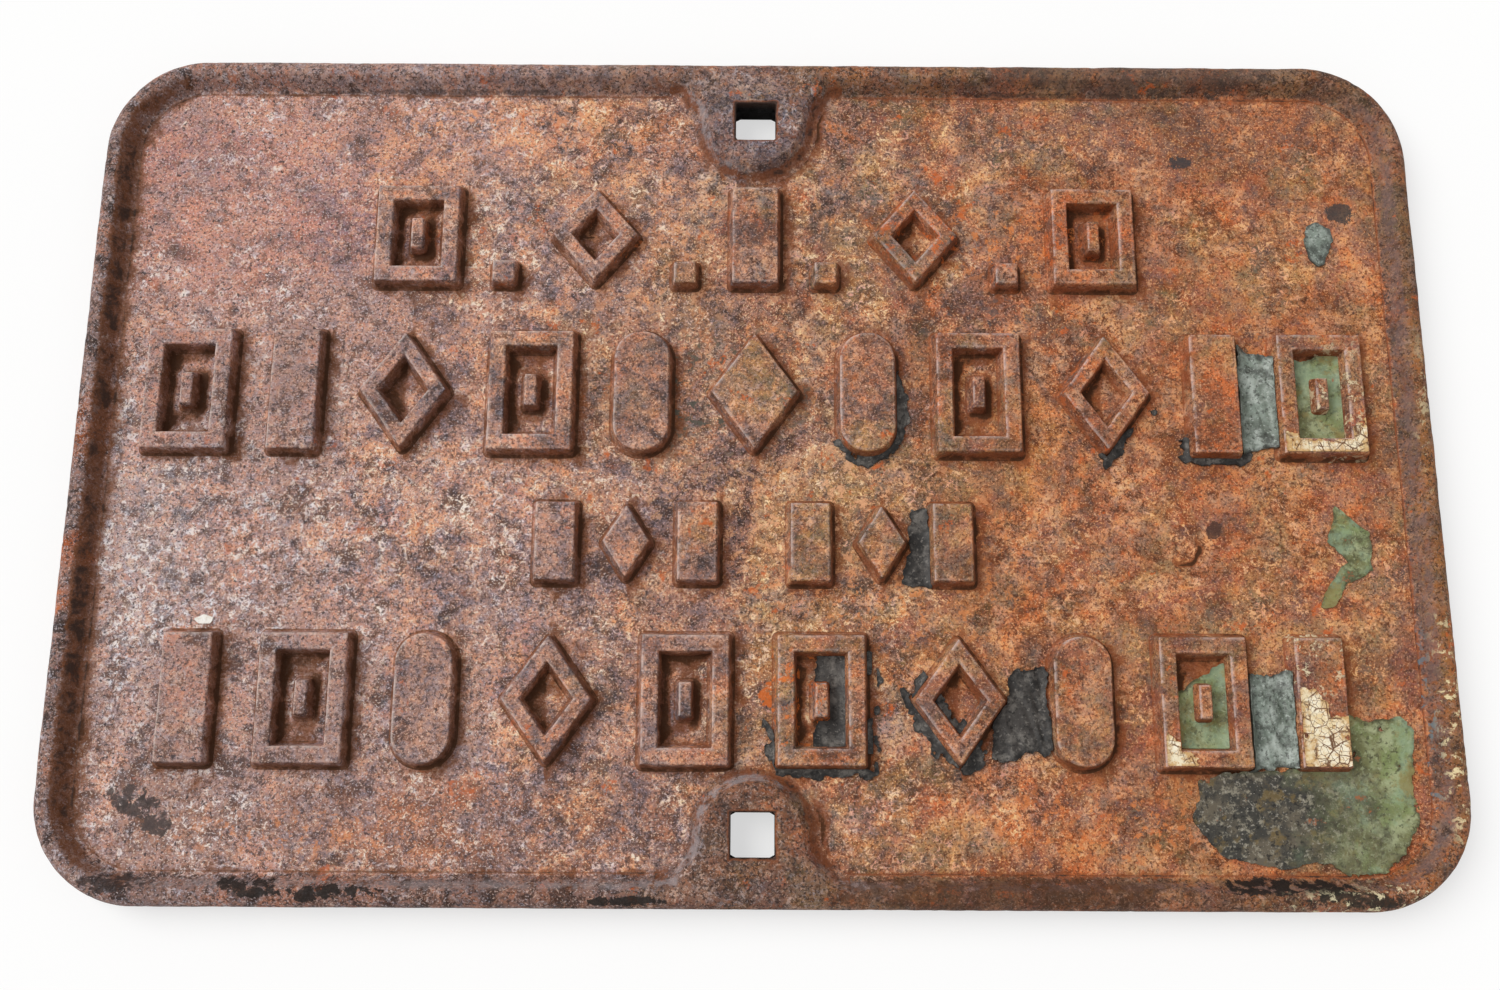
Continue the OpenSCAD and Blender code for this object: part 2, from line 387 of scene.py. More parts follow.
class Finish:
    """A material that is built up in coats of colour."""

    def __init__(self, name, colour="#000000"):
        self.material = bpy.data.materials.new(name)
        self.material.use_nodes = True
        self.tree = self.material.node_tree
        self.place = add(self.tree, "ShaderNodeTexCoord").outputs["Object"]
        self.axes = add(self.tree, "ShaderNodeSeparateXYZ", {0: self.place})
        self.colour = linear(colour)

    def coat(self, colour, value, low, high, amount=1.0):
        """Lays a colour on where a value has risen from low to high."""
        shown = add(self.tree, "ShaderNodeMapRange", {
            "Value": value, "From Min": low, "From Max": high, "To Max": amount},
            interpolation_type="SMOOTHSTEP")
        over = linear(colour) if isinstance(colour, str) else colour
        self.colour = add(self.tree, "ShaderNodeMix", {0: shown.outputs[0], 6: self.colour, 7: over},
                          data_type="RGBA").outputs[2]

    def patches(self, colour, low, high, amount, *size):
        """Lays a colour on in ragged patches of a real size."""
        cloud = add(self.tree, "ShaderNodeTexNoise", {"Vector": self.place, **grain(*size)})
        self.coat(colour, cloud.outputs["Fac"], low, high, amount)

    def clouds(self, low, high, amount, *size):
        """A mask of clouds of a real size, in which a finer coat gathers."""
        cloud = add(self.tree, "ShaderNodeTexNoise", {"Vector": self.place, **grain(*size)})
        return add(self.tree, "ShaderNodeMapRange", {
            "Value": cloud.outputs["Fac"], "From Min": low, "From Max": high, "To Max": amount},
            interpolation_type="SMOOTHSTEP").outputs[0]

    def spot(self, x_mm, y_mm, half_w_mm, half_h_mm, amount=1.0):
        """A soft oval mask at a place on the sign."""
        moved = add(self.tree, "ShaderNodeVectorMath", {0: self.place, 1: (-x_mm * MM, -y_mm * MM, 0)},
                    operation="ADD")
        sized = add(self.tree, "ShaderNodeVectorMath", {
            0: moved.outputs[0], 1: (1 / (half_w_mm * MM), 1 / (half_h_mm * MM), 0)}, operation="MULTIPLY")
        away = add(self.tree, "ShaderNodeVectorMath", {0: sized.outputs[0]}, operation="LENGTH")
        return add(self.tree, "ShaderNodeMapRange", {
            "Value": away.outputs["Value"], "From Min": 1.0, "From Max": 0.25, "To Max": amount},
            interpolation_type="SMOOTHSTEP").outputs[0]

    def ragged(self, value, pull, *size):
        """A value pulled about by noise of a real size, so that a coat laid by it has a torn edge."""
        tear = add(self.tree, "ShaderNodeTexNoise", {"Vector": self.place, **grain(*size)})
        return add(self.tree, "ShaderNodeMath", {0: tear.outputs["Fac"], 1: pull, 2: value},
                   operation="MULTIPLY_ADD").outputs[0]

    def smear(self, colour, place, amount):
        """Lays a colour on in one torn patch at a place."""
        self.coat(colour, self.ragged(self.spot(*place), 3.2, 7, 8.0, 0.72, 0.4), 2.30, 2.46, amount)

    def finish(self, rough_low, rough_high, bump_mm, grit_mm=1.5, shine=0.3):
        """Sets colour, roughness and grit, and gives the material."""
        shader = self.tree.nodes["Principled BSDF"]
        shader.inputs["Metallic"].default_value = 0.0
        shader.inputs["IOR"].default_value = IOR
        shader.inputs["Specular IOR Level"].default_value = shine
        patchy = add(self.tree, "ShaderNodeTexNoise", {"Vector": self.place, **grain(4.6)})
        matt = add(self.tree, "ShaderNodeMapRange", {
            "Value": patchy.outputs["Fac"], "From Min": 0.35, "From Max": 0.65, "To Min": rough_low,
            "To Max": rough_high})
        grit = add(self.tree, "ShaderNodeTexNoise", {"Vector": self.place, **grain(grit_mm, 5.0, 0.7)})
        bump = add(self.tree, "ShaderNodeBump", {
            "Height": grit.outputs["Fac"], "Strength": 0.7, "Distance": bump_mm * MM})
        for socket, made in (("Base Color", self.colour), ("Roughness", matt.outputs[0]),
                             ("Normal", bump.outputs[0])):
            self.tree.links.new(made, shader.inputs[socket])
        return self.material


print("a grain of 5 mm has the scale", grain(5)["Scale"], "per metre")

# %% [markdown]
# Rust is not one brown. On this sign it runs from a grey, pinkish brown on the left, through brown,
# to a warm orange brown on the right. Everywhere it is marbled: dark scale, red-brown, tan and pale
# bloom in ragged patches within patches. One noise gives the marbling, cut at rising levels for the
# darker to the paler colours. Warm and cool tints are then laid over the whole in patches, which lifts
# the light places and deepens the dark ones. Old rust is an open crust that scatters light: no metal
# shine, and a roughness near 0.9. The finest flecks are drawn at 1 to 2 mm, coarser than they are, so
# that they show.


# %% Rust
def rust(name, tones, blooms, edge, haze=(), stains=(), flakes=(), smears=(), veils=(), fade=None,
         soot_and_shade="#44260f", mottled=1.0):
    """Rusted grey iron. tones are dark scale, brown, tan and bloom, each with its colours for the left,
    middle and right of the sign. haze, stains, flakes, smears and veils are places: x, y, half width and
    half height in mm, an amount and a colour. fade holds the tones that it takes on near the field."""
    made = Finish(name)
    tree = made.tree
    drift = made.ragged(made.axes.outputs["X"], 0.42, 75, 4.0, 0.6)
    to_middle, to_right, weather, calm, peppered, orange = (
        add(tree, "ShaderNodeMapRange", {"Value": drift, "From Min": low, "From Max": high, "To Min": first,
                                         "To Max": last}, interpolation_type="SMOOTHSTEP").outputs[0]
        for low, high, first, last in ((0.00, 0.24, 0, 1), (0.18, 0.42, 0, 1),
                                       (-0.06, 0.12, 0.15 * mottled, 0.60 * mottled), (0.26, 0.44, 1, 0.62),
                                       (-0.10, 0.30, 0.85, 0.45), (-0.30, 0.25, 0, 0.85)))
    weather = add(tree, "ShaderNodeMath", {0: weather, 1: calm}, operation="MULTIPLY").outputs[0]

    def across(three):
        """A tone's colour at each place, from the left of the sign to its right."""
        left, middle, right = (linear(c) for c in three)
        half = add(tree, "ShaderNodeMix", {0: to_middle, 6: left, 7: middle}, data_type="RGBA").outputs[2]
        return add(tree, "ShaderNodeMix", {0: to_right, 6: half, 7: right}, data_type="RGBA").outputs[2]

    dark, brown, tan, bloom = (across(three) for three in tones)
    if fade:
        near = add(tree, "ShaderNodeAttribute", attribute_name="fade").outputs["Fac"]
        reach = made.ragged(near, 3.0, 9, 8.0, 0.74, 0.4)
        faded = []
        for own, three in zip((dark, brown, tan, bloom), fade):
            made.colour = own
            made.coat(across(three), reach, 2.05, 2.35)
            faded.append(made.colour)
        dark, brown, tan, bloom = faded
    marble = add(tree, "ShaderNodeTexNoise", {
        "Vector": made.place, **grain(13, 9.0, 0.74, 0.5)}).outputs["Fac"]
    made.colour = dark
    made.coat(brown, marble, 0.41, 0.48)
    for *place, amount, colour in stains:
        made.patches(colour, 0.40, 0.56, made.spot(*place, amount), 16, 7.0, 0.7)
    made.coat(tan, marble, 0.49, 0.54, made.clouds(0.42, 0.58, 1.0, 41, 6.0, 0.66, 0.4))
    for size_mm, colour, most in (
            (26, "#bc6838", 0.8), (24, dark, 0.8), (21, bloom, 0.6), (33, "#8a5a50", 0.7),
            (29, "#aa8f60", 0.5), (37, "#7f7849", 0.3), (18, "#5d5c60", 0.35)):
        right = add(tree, "ShaderNodeMapRange", {
            "Value": drift, "From Min": 0.06, "From Max": 0.28, "To Max": most * mottled},
            interpolation_type="SMOOTHSTEP").outputs[0]
        made.patches(colour, 0.48, 0.62, right, size_mm, 8.0, 0.70, 0.3)
    web = add(tree, "ShaderNodeTexNoise", {
        "Vector": made.place, **grain(4.2, 7.0, 0.76, 0.8)}).outputs["Fac"]
    for *place, amount, colour in haze:
        gathered = made.clouds(0.42, 0.60, made.spot(*place, amount), 36, 6.0, 0.68)
        made.coat(colour, web, 0.52, 0.58, gathered)
    made.coat(bloom, web, 0.54, 0.59, made.clouds(0.42, 0.58, blooms, 30, 6.0, 0.68))
    made.coat(dark, web, 0.47, 0.41, made.clouds(0.60, 0.42, 0.95, 34, 6.0, 0.68))
    for *place, amount, colour in veils:
        made.patches(colour, 0.40, 0.60, made.spot(*place, amount), 2.8, 5.0, 0.7)
    made.patches(dark, 0.53, 0.60, 0.8, 1.4, 3.0, 0.6)
    made.patches(bloom, 0.56, 0.64, 0.65, 1.0, 3.0, 0.6)
    for cool, warm, low, high, amount, size in (
            ("#a4b0d0", "#e6ba90", 0.38, 0.62, 0.27, (3.1, 6.0, 0.72)),
            ("#617c99", "#f9e7cc", 0.39, 0.61, weather, (16, 10.0, 0.80, 0.4))):
        body = made.colour
        made.colour = linear(cool)
        made.patches(warm, low, high, 1.0, *size)
        made.colour = add(tree, "ShaderNodeMix", {0: amount, 6: body, 7: made.colour}, data_type="RGBA",
                          blend_type="OVERLAY").outputs[2]
    made.patches("#c8622c", 0.60, 0.66, made.clouds(0.44, 0.52, orange, 3.7), 19, 7.0, 0.72)
    made.patches("#423a3d", 0.64, 0.68, peppered, 1.9, 2.0, 0.5)
    # Painted highlight, with wear: pale edge colours where the edge mark is high, most on edges that face
    # the light.
    worn = add(tree, "ShaderNodeAttribute", attribute_name="edge").outputs["Fac"]
    rubbed_and_lit = add(tree, "ShaderNodeMapRange", {
        "Value": worn, "From Min": 0.2, "From Max": 0.9, "To Max": 0.52},
        interpolation_type="SMOOTHSTEP").outputs[0]
    made.patches(across(edge), 0.42, 0.54, rubbed_and_lit, 6.3, 6.0, 0.72)
    # Dirt and painted shade: where the crevice mark is high, a brown stain and then a darker colour fill the
    # feet and hollows.
    foot = add(tree, "ShaderNodeAttribute", attribute_name="crevice").outputs["Fac"]
    reach = made.ragged(foot, 2.2, 11, 8.0, 0.72, 0.4)
    made.coat(across(("#744424", "#7f4524", "#8d4a25")), reach, 1.28, 1.62, 0.75)
    made.coat(soot_and_shade, reach, 1.66, 2.0, 0.9)
    for *place, amount, colour in smears:
        made.smear(colour, place, amount)
    for *place, amount, colour in flakes:
        made.patches(colour, 0.55, 0.59, made.spot(*place, amount), 5.5, 7.0, 0.74, 0.3)
    # Painted shade: the hole walls and the deepest hollows go nearly black.
    made.coat("#0e0b0a", foot, 1.4, 1.8)
    return made


print("rust ready")

# %% [markdown]
# The casting's three areas differ: the field is the most mottled, the rim is darker and greyer because
# hands and weather rub it, and the raised faces are plainer. Where the weather has worked differently,
# a stain, a pale haze or a few flakes of paint are laid at a place in millimetres on the sign.

# %% Three rusts
FIELD_TONES = (("#665049", "#553a2d", "#65381f"), ("#b0928a", "#9c7567", "#b06b45"),
               ("#cd9c88", "#c68d63", "#c47f52"), ("#ebe0dc", "#efcfb3", "#e4ae82"))
# A broken dark line along the foot of the top rim: painted shade in the crease, with dirt.
RIM_FOOT_LINE = ((-160, 195.8, 130, 2.2, 0.55, "#3d2c25"), (150, 195.8, 120, 2.2, 0.55, "#33231b"))
# The field's crust is thick and soft, so it looks dead matt and the most mottled.
field_rust = rust(
    "rusted_sand_cast_iron_field", FIELD_TONES, 1.0, ("#dccbc3", "#dccbc3", "#dcc3b4"),
    haze=((-320, -60, 280, 190, 0.9, "#e2dedd"), (-110, 174, 100, 26, 0.9, "#e2d5cf"),
          (-302, -30, 34, 110, 0.8, "#e8e6e8"), (-280, -72, 70, 60, 0.9, "#ebecf2"),
          (-20, -174, 190, 24, 0.5, "#d9c8bf")),
    stains=((-265, 140, 130, 85, 0.85, "#ca9080"), (-110, 174, 100, 26, 0.9, "#cf9076"),
            (-120, -172, 150, 30, 0.95, "#9c6a54"), (-265, -170, 90, 35, 0.7, "#93766c"),
            (230, 172, 130, 34, 0.85, "#82553d"), (205, -45, 80, 34, 0.9, "#98523a"),
            (215, -90, 120, 20, 0.95, "#b8965c"), (110, 20, 90, 60, 0.75, "#ad7b48"),
            (120, 118, 110, 40, 0.75, "#b57a54"), (285, 60, 40, 120, 0.8, "#ba7a48"),
            (110, -172, 110, 34, 0.85, "#b56b3e"), (60, -5, 120, 14, 0.8, "#b98a52"),
            (290, 120, 30, 50, 0.7, "#bf6f3e"), (-40, 172, 50, 20, 0.8, "#b9744d")),
    smears=((222, -33, 8, 8, 0.9, "#4a332c"), (216, 159, 12, 7, 0.9, "#3d3a3c"),
            (296, 132, 12, 9, 0.9, "#3f3b3a"), (10, -112, 14, 12, 0.9, "#cf6a2c"),
            (150, 135, 13, 10, 0.9, "#cc6a34"), (-290, -161, 17, 9, 0.9, "#4c4240"),
            (-282, -166, 19, 10, 0.9, "#453c3a"), (-275, -173, 12, 14, 0.9, "#4c4240"), *RIM_FOOT_LINE),
    flakes=((120, 112, 100, 40, 0.8, "#dc8448"), (70, -50, 130, 70, 0.7, "#dd8a50"),
            (160, -172, 90, 30, 0.8, "#d9824a"), (-110, 176, 110, 24, 0.8, "#e29a72"),
            (-150, 176, 50, 18, 0.9, "#e6a47c"), (250, 30, 80, 90, 0.6, "#d98a50"),
            (-30, 100, 90, 60, 0.7, "#e0a078"), (20, -20, 120, 60, 0.7, "#e6b088"),
            (-200, -178, 120, 18, 0.7, "#d58a5c"), (-15, 30, 60, 46, 0.85, "#3b3c42"),
            (112, 78, 60, 30, 0.7, "#4c4a4c"), (60, 120, 60, 40, 0.6, "#4a4344"),
            (-20, 40, 80, 60, 0.7, "#5c5a4c")),
    veils=((-265, 140, 140, 90, 0.55, "#c08c7f"), (-150, 60, 90, 60, 0.4, "#b58877"),
           (-215, 125, 60, 40, 0.5, "#a07c84"), (-290, 165, 60, 30, 0.5, "#a27a7c"),
           (-170, 160, 60, 40, 0.45, "#d89c7a"), (-250, 120, 40, 30, 0.4, "#d39a80"),
           (-120, -172, 150, 30, 0.7, "#785548"), (230, 172, 130, 34, 0.6, "#775c52"),
           (130, 172, 110, 26, 0.4, "#7a6462"), (-292, -40, 44, 110, 0.4, "#cbc8cd"),
           (0, 60, 200, 40, 0.25, "#8f6a58"), (150, 118, 60, 40, 0.3, "#8f7470"),
           (212, -86, 70, 14, 0.45, "#c8a068"))
).finish(0.72, 0.95, 1.0)
# The rim's crust is rubbed thin and hard, so it looks darker, with a faint sheen on the crown.
# The rim's edge colours are a painted highlight, with wear, on the slopes and boss flanks that face the
# light.
rim_rust = rust(
    "rusted_sand_cast_iron_rim",
    (("#3a2b26", "#2f201a", "#38241a"), ("#866d66", "#6b4e43", "#6d4a36"),
     ("#a57663", "#875d46", "#855431"), ("#c4babb", "#aa958a", "#a58570")),
    0.8, ("#968a8a", "#aea5a8", "#7a625f"),
    haze=((0, 186, 46, 40, 1.0, "#d3d0d4"), (0, -186, 44, 34, 0.5, "#b9aba3")),
    stains=((0, 180, 44, 40, 0.95, "#857371"), (0, -180, 44, 40, 0.9, "#6a4c3c"),
            (-150, 204, 150, 22, 0.95, "#b09288"), (150, -205, 150, 18, 0.95, "#54331d"),
            (-322, 12, 20, 24, 0.95, "#8a4a22"), (-323, -46, 20, 12, 0.95, "#9a4f20"),
            (-328, -72, 12, 10, 0.95, "#b05f28"), (318, -186, 40, 46, 0.95, "#ac682c"),
            (327, -20, 10, 190, 0.9, "#96602f"), (60, 204, 60, 8, 0.8, "#9a5c30"),
            (220, 204, 60, 12, 0.7, "#6a4a3c")),
    flakes=((325, -130, 10, 95, 1.0, "#e2cfa2"), (302, -203, 40, 12, 0.95, "#e0cda6"),
            (315, -130, 6, 80, 0.9, "#64747c"), (272, -207, 52, 9, 0.95, "#d9cda8"),
            (326, 20, 8, 60, 0.6, "#d8c49a")),
    smears=((240, -199, 62, 7, 0.95, "#1b1512"), (-228, -201, 32, 8, 0.95, "#201814"),
            (-190, -203, 40, 7, 0.95, "#201814"), (-58, -206.5, 34, 4, 0.95, "#201814"),
            (275, -204, 40, 7, 0.9, "#2a241c"), (-290, -200, 30, 8, 0.8, "#2a2120"),
            (120, -203, 150, 16, 0.6, "#4a2e1a"), (190, 204, 150, 16, 0.5, "#54453e"), *RIM_FOOT_LINE),
    veils=((0, 180, 44, 40, 0.6, "#6e6874"), (0, -180, 44, 40, 0.65, "#5a3f30"),
           (315, 0, 5, 230, 0.6, "#70605f"), (324, -40, 6, 240, 0.5, "#97682f"),
           (-150, 204, 150, 22, 0.55, "#b5a09c"), (160, -204, 150, 14, 0.4, "#5a3818"),
           (-160, -204, 150, 14, 0.3, "#6a4638")),
    fade=FIELD_TONES, soot_and_shade="#372822", mottled=0.55).finish(0.55, 0.88, 1.0)
# The faces were scraped and painted often, so they look plainer and a little smoother than the field.
# Their pale edge colours are a painted highlight on the edges that face the light, with wear.
block_rust = rust(
    "rusted_sand_cast_iron_relief",
    (("#664f48", "#593f34", "#613924"), ("#a78980", "#997566", "#9f6546"),
     ("#b98b7c", "#b27a5b", "#af744b"), ("#d6c5bf", "#d6b39f", "#d6a580")),
    0.6, ("#e0d0c8", "#dccbc6", "#d6c2bc"),
    haze=((-290, -60, 160, 190, 0.35, "#dcd6d4"),),
    stains=((120, 118, 100, 40, 0.7, "#b5653a"), (30, -112, 50, 40, 0.6, "#b0693a")),
    flakes=((120, 118, 100, 40, 0.8, "#d0662a"), (20, -116, 40, 40, 0.8, "#d8702c"),
            (285, 30, 24, 50, 0.9, "#dcc9a4"), (262, -95, 30, 30, 0.9, "#e0d0ac"),
            (150, 40, 40, 40, 0.6, "#c86a34"), (-60, 118, 30, 40, 0.5, "#cf7038"))
).finish(0.7, 0.92, 1.0)
print("made", field_rust.name, rim_rust.name, block_rust.name)

# %% [markdown]
# Scraps of the old paint still hang on. Linseed oil paint over bitumen ages to a brittle skin: a green
# topcoat over a black undercoat, and cream on the raised faces, cracked like dried mud.
# Brushed oil paint dries smoother than rust, so it keeps a little shine, at a roughness near 0.5.


# %% Old paint
def old_paint(name, base, worn, pale, dirt_and_shade):
    """A dull weathered paint skin with worn, pale and dirty patches."""
    made = Finish(name, base)
    made.patches(worn, 0.44, 0.56, 0.9, 19, 7.0, 0.7, 0.4)
    made.patches(pale, 0.44, 0.64, 0.8, 12, 7.0, 0.72, 0.3)
    made.patches(dirt_and_shade, 0.48, 0.64, 0.85, 14, 7.0, 0.72)
    made.patches(dirt_and_shade, 0.56, 0.62, 0.7, 2.1, 3.0, 0.6)
    made.patches(pale, 0.60, 0.65, 0.6, 1.7, 3.0, 0.6)
    # A darker border along the torn edge: dirt and painted shade.
    border = add(made.tree, "ShaderNodeAttribute", attribute_name="border").outputs["Fac"]
    border_dirt_and_shade = add(made.tree, "ShaderNodeMapRange", {
        "Value": border, "From Min": 0.15, "From Max": 0.8, "To Max": 0.85},
        interpolation_type="SMOOTHSTEP").outputs[0]
    made.patches(dirt_and_shade, 0.40, 0.52, border_dirt_and_shade, 4.4, 6.0, 0.72)
    return made


# Bitumen was brushed on thick: nearly black, with a dull sheen and grey dust.
black_skin = old_paint("black_bitumen_undercoat_skin", "#2e2b29", "#403c39", "#79746e", "#171514").finish(
    0.4, 0.65, 0.3, 1.4, 0.35)
# The loose skins show their smooth side: a chalky grey green with the most shine of these paints.
grey_skin = old_paint("grey_green_paint_skin", "#666f65", "#808b81", "#b0b8b0", "#383a35").finish(
    0.35, 0.6, 0.25, 1.3, 0.45)
print("made", black_skin.name, grey_skin.name)

# %% [markdown]
# The green topcoat has worn through to its black undercoat on the left of the largest scrap. The border
# between the two is a ragged line across the sign, so the place decides which of them shows.

# %% Green over black
WORN_TOP, WORN_TOP_END = -143 * MM, -150 * MM
WORN_RIGHT, WORN_RIGHT_END = 300 * MM, 352 * MM
# A brushed oil topcoat: soft green with a low sheen, dull where the undercoat shows.
green = old_paint("green_oil_paint_skin", "#6f7048", "#7e8b58", "#a6ad86", "#45442b")
green.patches("#8fa588", 0.48, 0.60, 0.6, 27, 6.0, 0.68)
green.patches("#8b7c48", 0.53, 0.62, 0.7, 16, 7.0, 0.72)
topcoat = green.colour
green.colour = linear("#383631")
green.patches("#655c4d", 0.42, 0.58, 0.9, 17, 7.0, 0.7)
green.patches("#948d7c", 0.52, 0.62, 0.8, 4.1, 7.0, 0.74)
green.patches("#a8a296", 0.61, 0.66, 0.6, 1.6, 3.0, 0.6)
green.patches("#6f5c36", 0.53, 0.61, 0.75, 13, 7.0, 0.72)
green.patches("#1e1c1a", 0.57, 0.63, 0.8, 2.3, 3.0, 0.6)
undercoat = green.colour
turn = green.ragged(green.axes.outputs["X"], 0.11, 24, 8.0, 0.7, 0.4)
low_part = add(green.tree, "ShaderNodeMapRange", {
    "Value": green.axes.outputs["Y"], "From Min": WORN_TOP, "From Max": WORN_TOP_END},
    interpolation_type="SMOOTHSTEP")
worn_off = add(green.tree, "ShaderNodeMapRange", {
    "Value": turn, "From Min": WORN_RIGHT, "From Max": WORN_RIGHT_END,
    "To Min": low_part.outputs[0], "To Max": 0.0})
green.colour = add(green.tree, "ShaderNodeMix", {0: worn_off.outputs[0], 6: topcoat, 7: undercoat},
                   data_type="RGBA").outputs[2]
green.patches("#9a5a34", 0.62, 0.66, 0.85, 14, 7.0, 0.72)
green_skin = green.finish(0.45, 0.72, 0.3, 1.2, 0.4)
print("made", green_skin.name)

# %% [markdown]
# Thick cream paint shrinks and cracks into plates as it ages. A Voronoi pattern gives the plates: it is
# dark where two cells meet. Bending the place with noise first makes the cracks wander. Real cracks are
# hair thin. They are drawn about 0.3 mm wide, the least that shows.

# %% Cracked cream
# Thick oil paint: pale and warm, with dark cracks that break its low sheen.
cream = old_paint("cream_oil_paint_skin", "#ecdfc0", "#e4cb98", "#faf3e0", "#c79c62")
wander = add(cream.tree, "ShaderNodeTexNoise", {"Vector": cream.place, **grain(5)})
bent = add(cream.tree, "ShaderNodeMix", {0: 0.0016, 4: cream.place, 5: wander.outputs["Color"]},
           data_type="VECTOR").outputs[1]
for size_mm, low, high in ((6.5, 0.055, 0.015), (3.0, 0.05, 0.012)):
    plates = add(cream.tree, "ShaderNodeTexVoronoi", {"Vector": bent, "Scale": 1 / (size_mm * MM)},
                 feature="DISTANCE_TO_EDGE")
    cream.coat("#6e4a2e", plates.outputs["Distance"], low, high, cream.clouds(0.40, 0.55, 1.0, 12))
cream_skin = cream.finish(0.5, 0.75, 0.3, 1.8, 0.4)
# A flake of white lead paint: the brightest speck on the sign, smooth and chalky.
white_skin = old_paint("white_lead_paint_flake", "#f4f2ec", "#ebe7de", "#fdfdfb", "#d9d2c6").finish(
    0.5, 0.7, 0.2)
print("made", cream_skin.name, white_skin.name)

# %% [markdown]
# A block is lofted: the same rounded outline is drawn many times, smaller or larger, and the rings
# are joined. Going along the rings gives the section of a pattern-maker's raised block: a small
# hollow fillet at the foot, a leaning side, a worn round edge and the flat face. A block with a
# window comes down again on the inside.


# %% Outline and section of a block
RING_STEP = 1.5 * MM
FACE_STEP = 1.6 * MM
FACE_CORE = 1.0 * MM
FILLET = 1.2 * MM
EDGE_ROUND = 0.9 * MM
LEAST_ROUND, LARGE_ROUND = 0.5 * MM, 5 * MM
LEAST_FLAT = 0.05 * MM
SUNK = 0.7 * MM


def ring(block, inset):
    """Points of a block's outline, drawn inset inside its foot."""
    radius = min(max(block["round"] - inset, LEAST_ROUND), block["across"] - inset - LEAST_FLAT)
    shrink = inset + radius
    if block["lozenge"]:
        share = (block["across"] - shrink) / block["across"]
        half_w = block["half_w"] * share
        half_h = block["half_h"] * share
        turn = math.atan2(block["half_w"], block["half_h"])
        corners = [(half_w, 0), (0, half_h), (-half_w, 0), (0, -half_h)]
        normals = [turn, math.pi - turn, math.pi + turn, 2 * math.pi - turn]
    else:
        half_w = block["half_w"] - shrink
        half_h = block["half_h"] - shrink
        corners = [(half_w, -half_h), (half_w, half_h), (-half_w, half_h), (-half_w, -half_h)]
        normals = [0, math.pi / 2, math.pi, 3 * math.pi / 2]
    arc_steps = 12 if block["round"] > LARGE_ROUND else 6
    points = []
    for k in range(4):
        before = normals[k - 1] - (2 * math.pi if k == 0 else 0)
        for i in range(arc_steps + 1):
            angle = before + (normals[k] - before) * i / arc_steps
            points.append((corners[k][0] + radius * math.cos(angle),
                           corners[k][1] + radius * math.sin(angle)))
        end = points[-1]
        after = (k + 1) % 4
        start = (corners[after][0] + radius * math.cos(normals[k]),
                 corners[after][1] + radius * math.sin(normals[k]))
        full = 2 * max(block["half_w"], block["half_h"])
        count = max(int(full / RING_STEP), 4)
        for i in range(1, count):
            points.append(tuple(a + (b - a) * i / count for a, b in zip(end, start)))
    return [(block["x"] + x, block["y"] + y) for x, y in points]


def climb(block):
    """Insets, heights, crevice and edge marks from the foot's fillet up to the face."""
    height = block["height"]
    lean = block["lean"] / height
    # Dirt and painted shade are marked strongest at the foot, wear and a painted highlight at the top edge.
    rows = [(-FILLET, -SUNK, 1.0, 0.0)]
    for i in range(5):
        angle = math.radians(90 * i / 4)
        rows.append((-FILLET + FILLET * math.sin(angle) + lean * FILLET * (1 - math.cos(angle)),
                     FILLET * (1 - math.cos(angle)), 1.0 - 0.08 * i, 0.0))
    side_top = height - EDGE_ROUND
    for i in (1, 2, 3):
        z = FILLET + (side_top - FILLET) * i / 3
        rows.append((lean * z, z, 0.65 - 0.12 * i, 0.1 * i))
    for i in range(1, 5):
        angle = math.radians(90 * i / 4)
        rows.append((lean * side_top + EDGE_ROUND * (1 - math.cos(angle)),
                     side_top + EDGE_ROUND * math.sin(angle), 0.0, 1.0))
    return rows


def section(block):
    """The whole section of a block, across its wall or in to its middle."""
    rows = climb(block)
    top = rows[-1]
    width = block["wall"] or block["across"]
    stop = width - top[0] if block["wall"] else width - FACE_CORE
    count = max(int((stop - top[0]) / FACE_STEP), 2)
    face = [(top[0] + (stop - top[0]) * i / count, top[1], 0.0, 0.0) for i in range(1, count)]
    if block["wall"]:
        down = [(width - inset, z, crevice, edge) for inset, z, crevice, edge in reversed(rows)]
        return rows + face + down
    return rows + face + [(stop, top[1], 0.0, 0.0)]


def bands(count, rings):
    """Faces that join each ring of so many points to the next ring."""
    faces = []
    for r in range(rings - 1):
        for i in range(count):
            j = (i + 1) % count
            faces.append((r * count + i, r * count + j, (r + 1) * count + j, (r + 1) * count + i))
    return faces


def loft(block):
    """Points, faces and marks of one closed block."""
    rows = section(block)
    points = []
    crevice = []
    edge = []
    for inset, z, dirt_and_shade, worn in rows:
        for x, y in ring(block, inset):
            points.append((x, y, FIELD_Z + z))
            crevice.append(dirt_and_shade)
            edge.append(worn)
    count = len(points) // len(rows)
    faces = bands(count, len(rows))
    last = (len(rows) - 1) * count
    if block["wall"]:
        faces += [(last + i, last + (i + 1) % count, (i + 1) % count, i) for i in range(count)]
    else:
        faces.append(tuple(last + i for i in range(count)))
        faces.append(tuple(reversed(range(count))))
    return points, faces, crevice, edge


print("section of a slab has", len(section(blocks[0])), "rings")

# %% [markdown]
# Each row's blocks of one kind make one piece, named after the frame's node that it stands for.

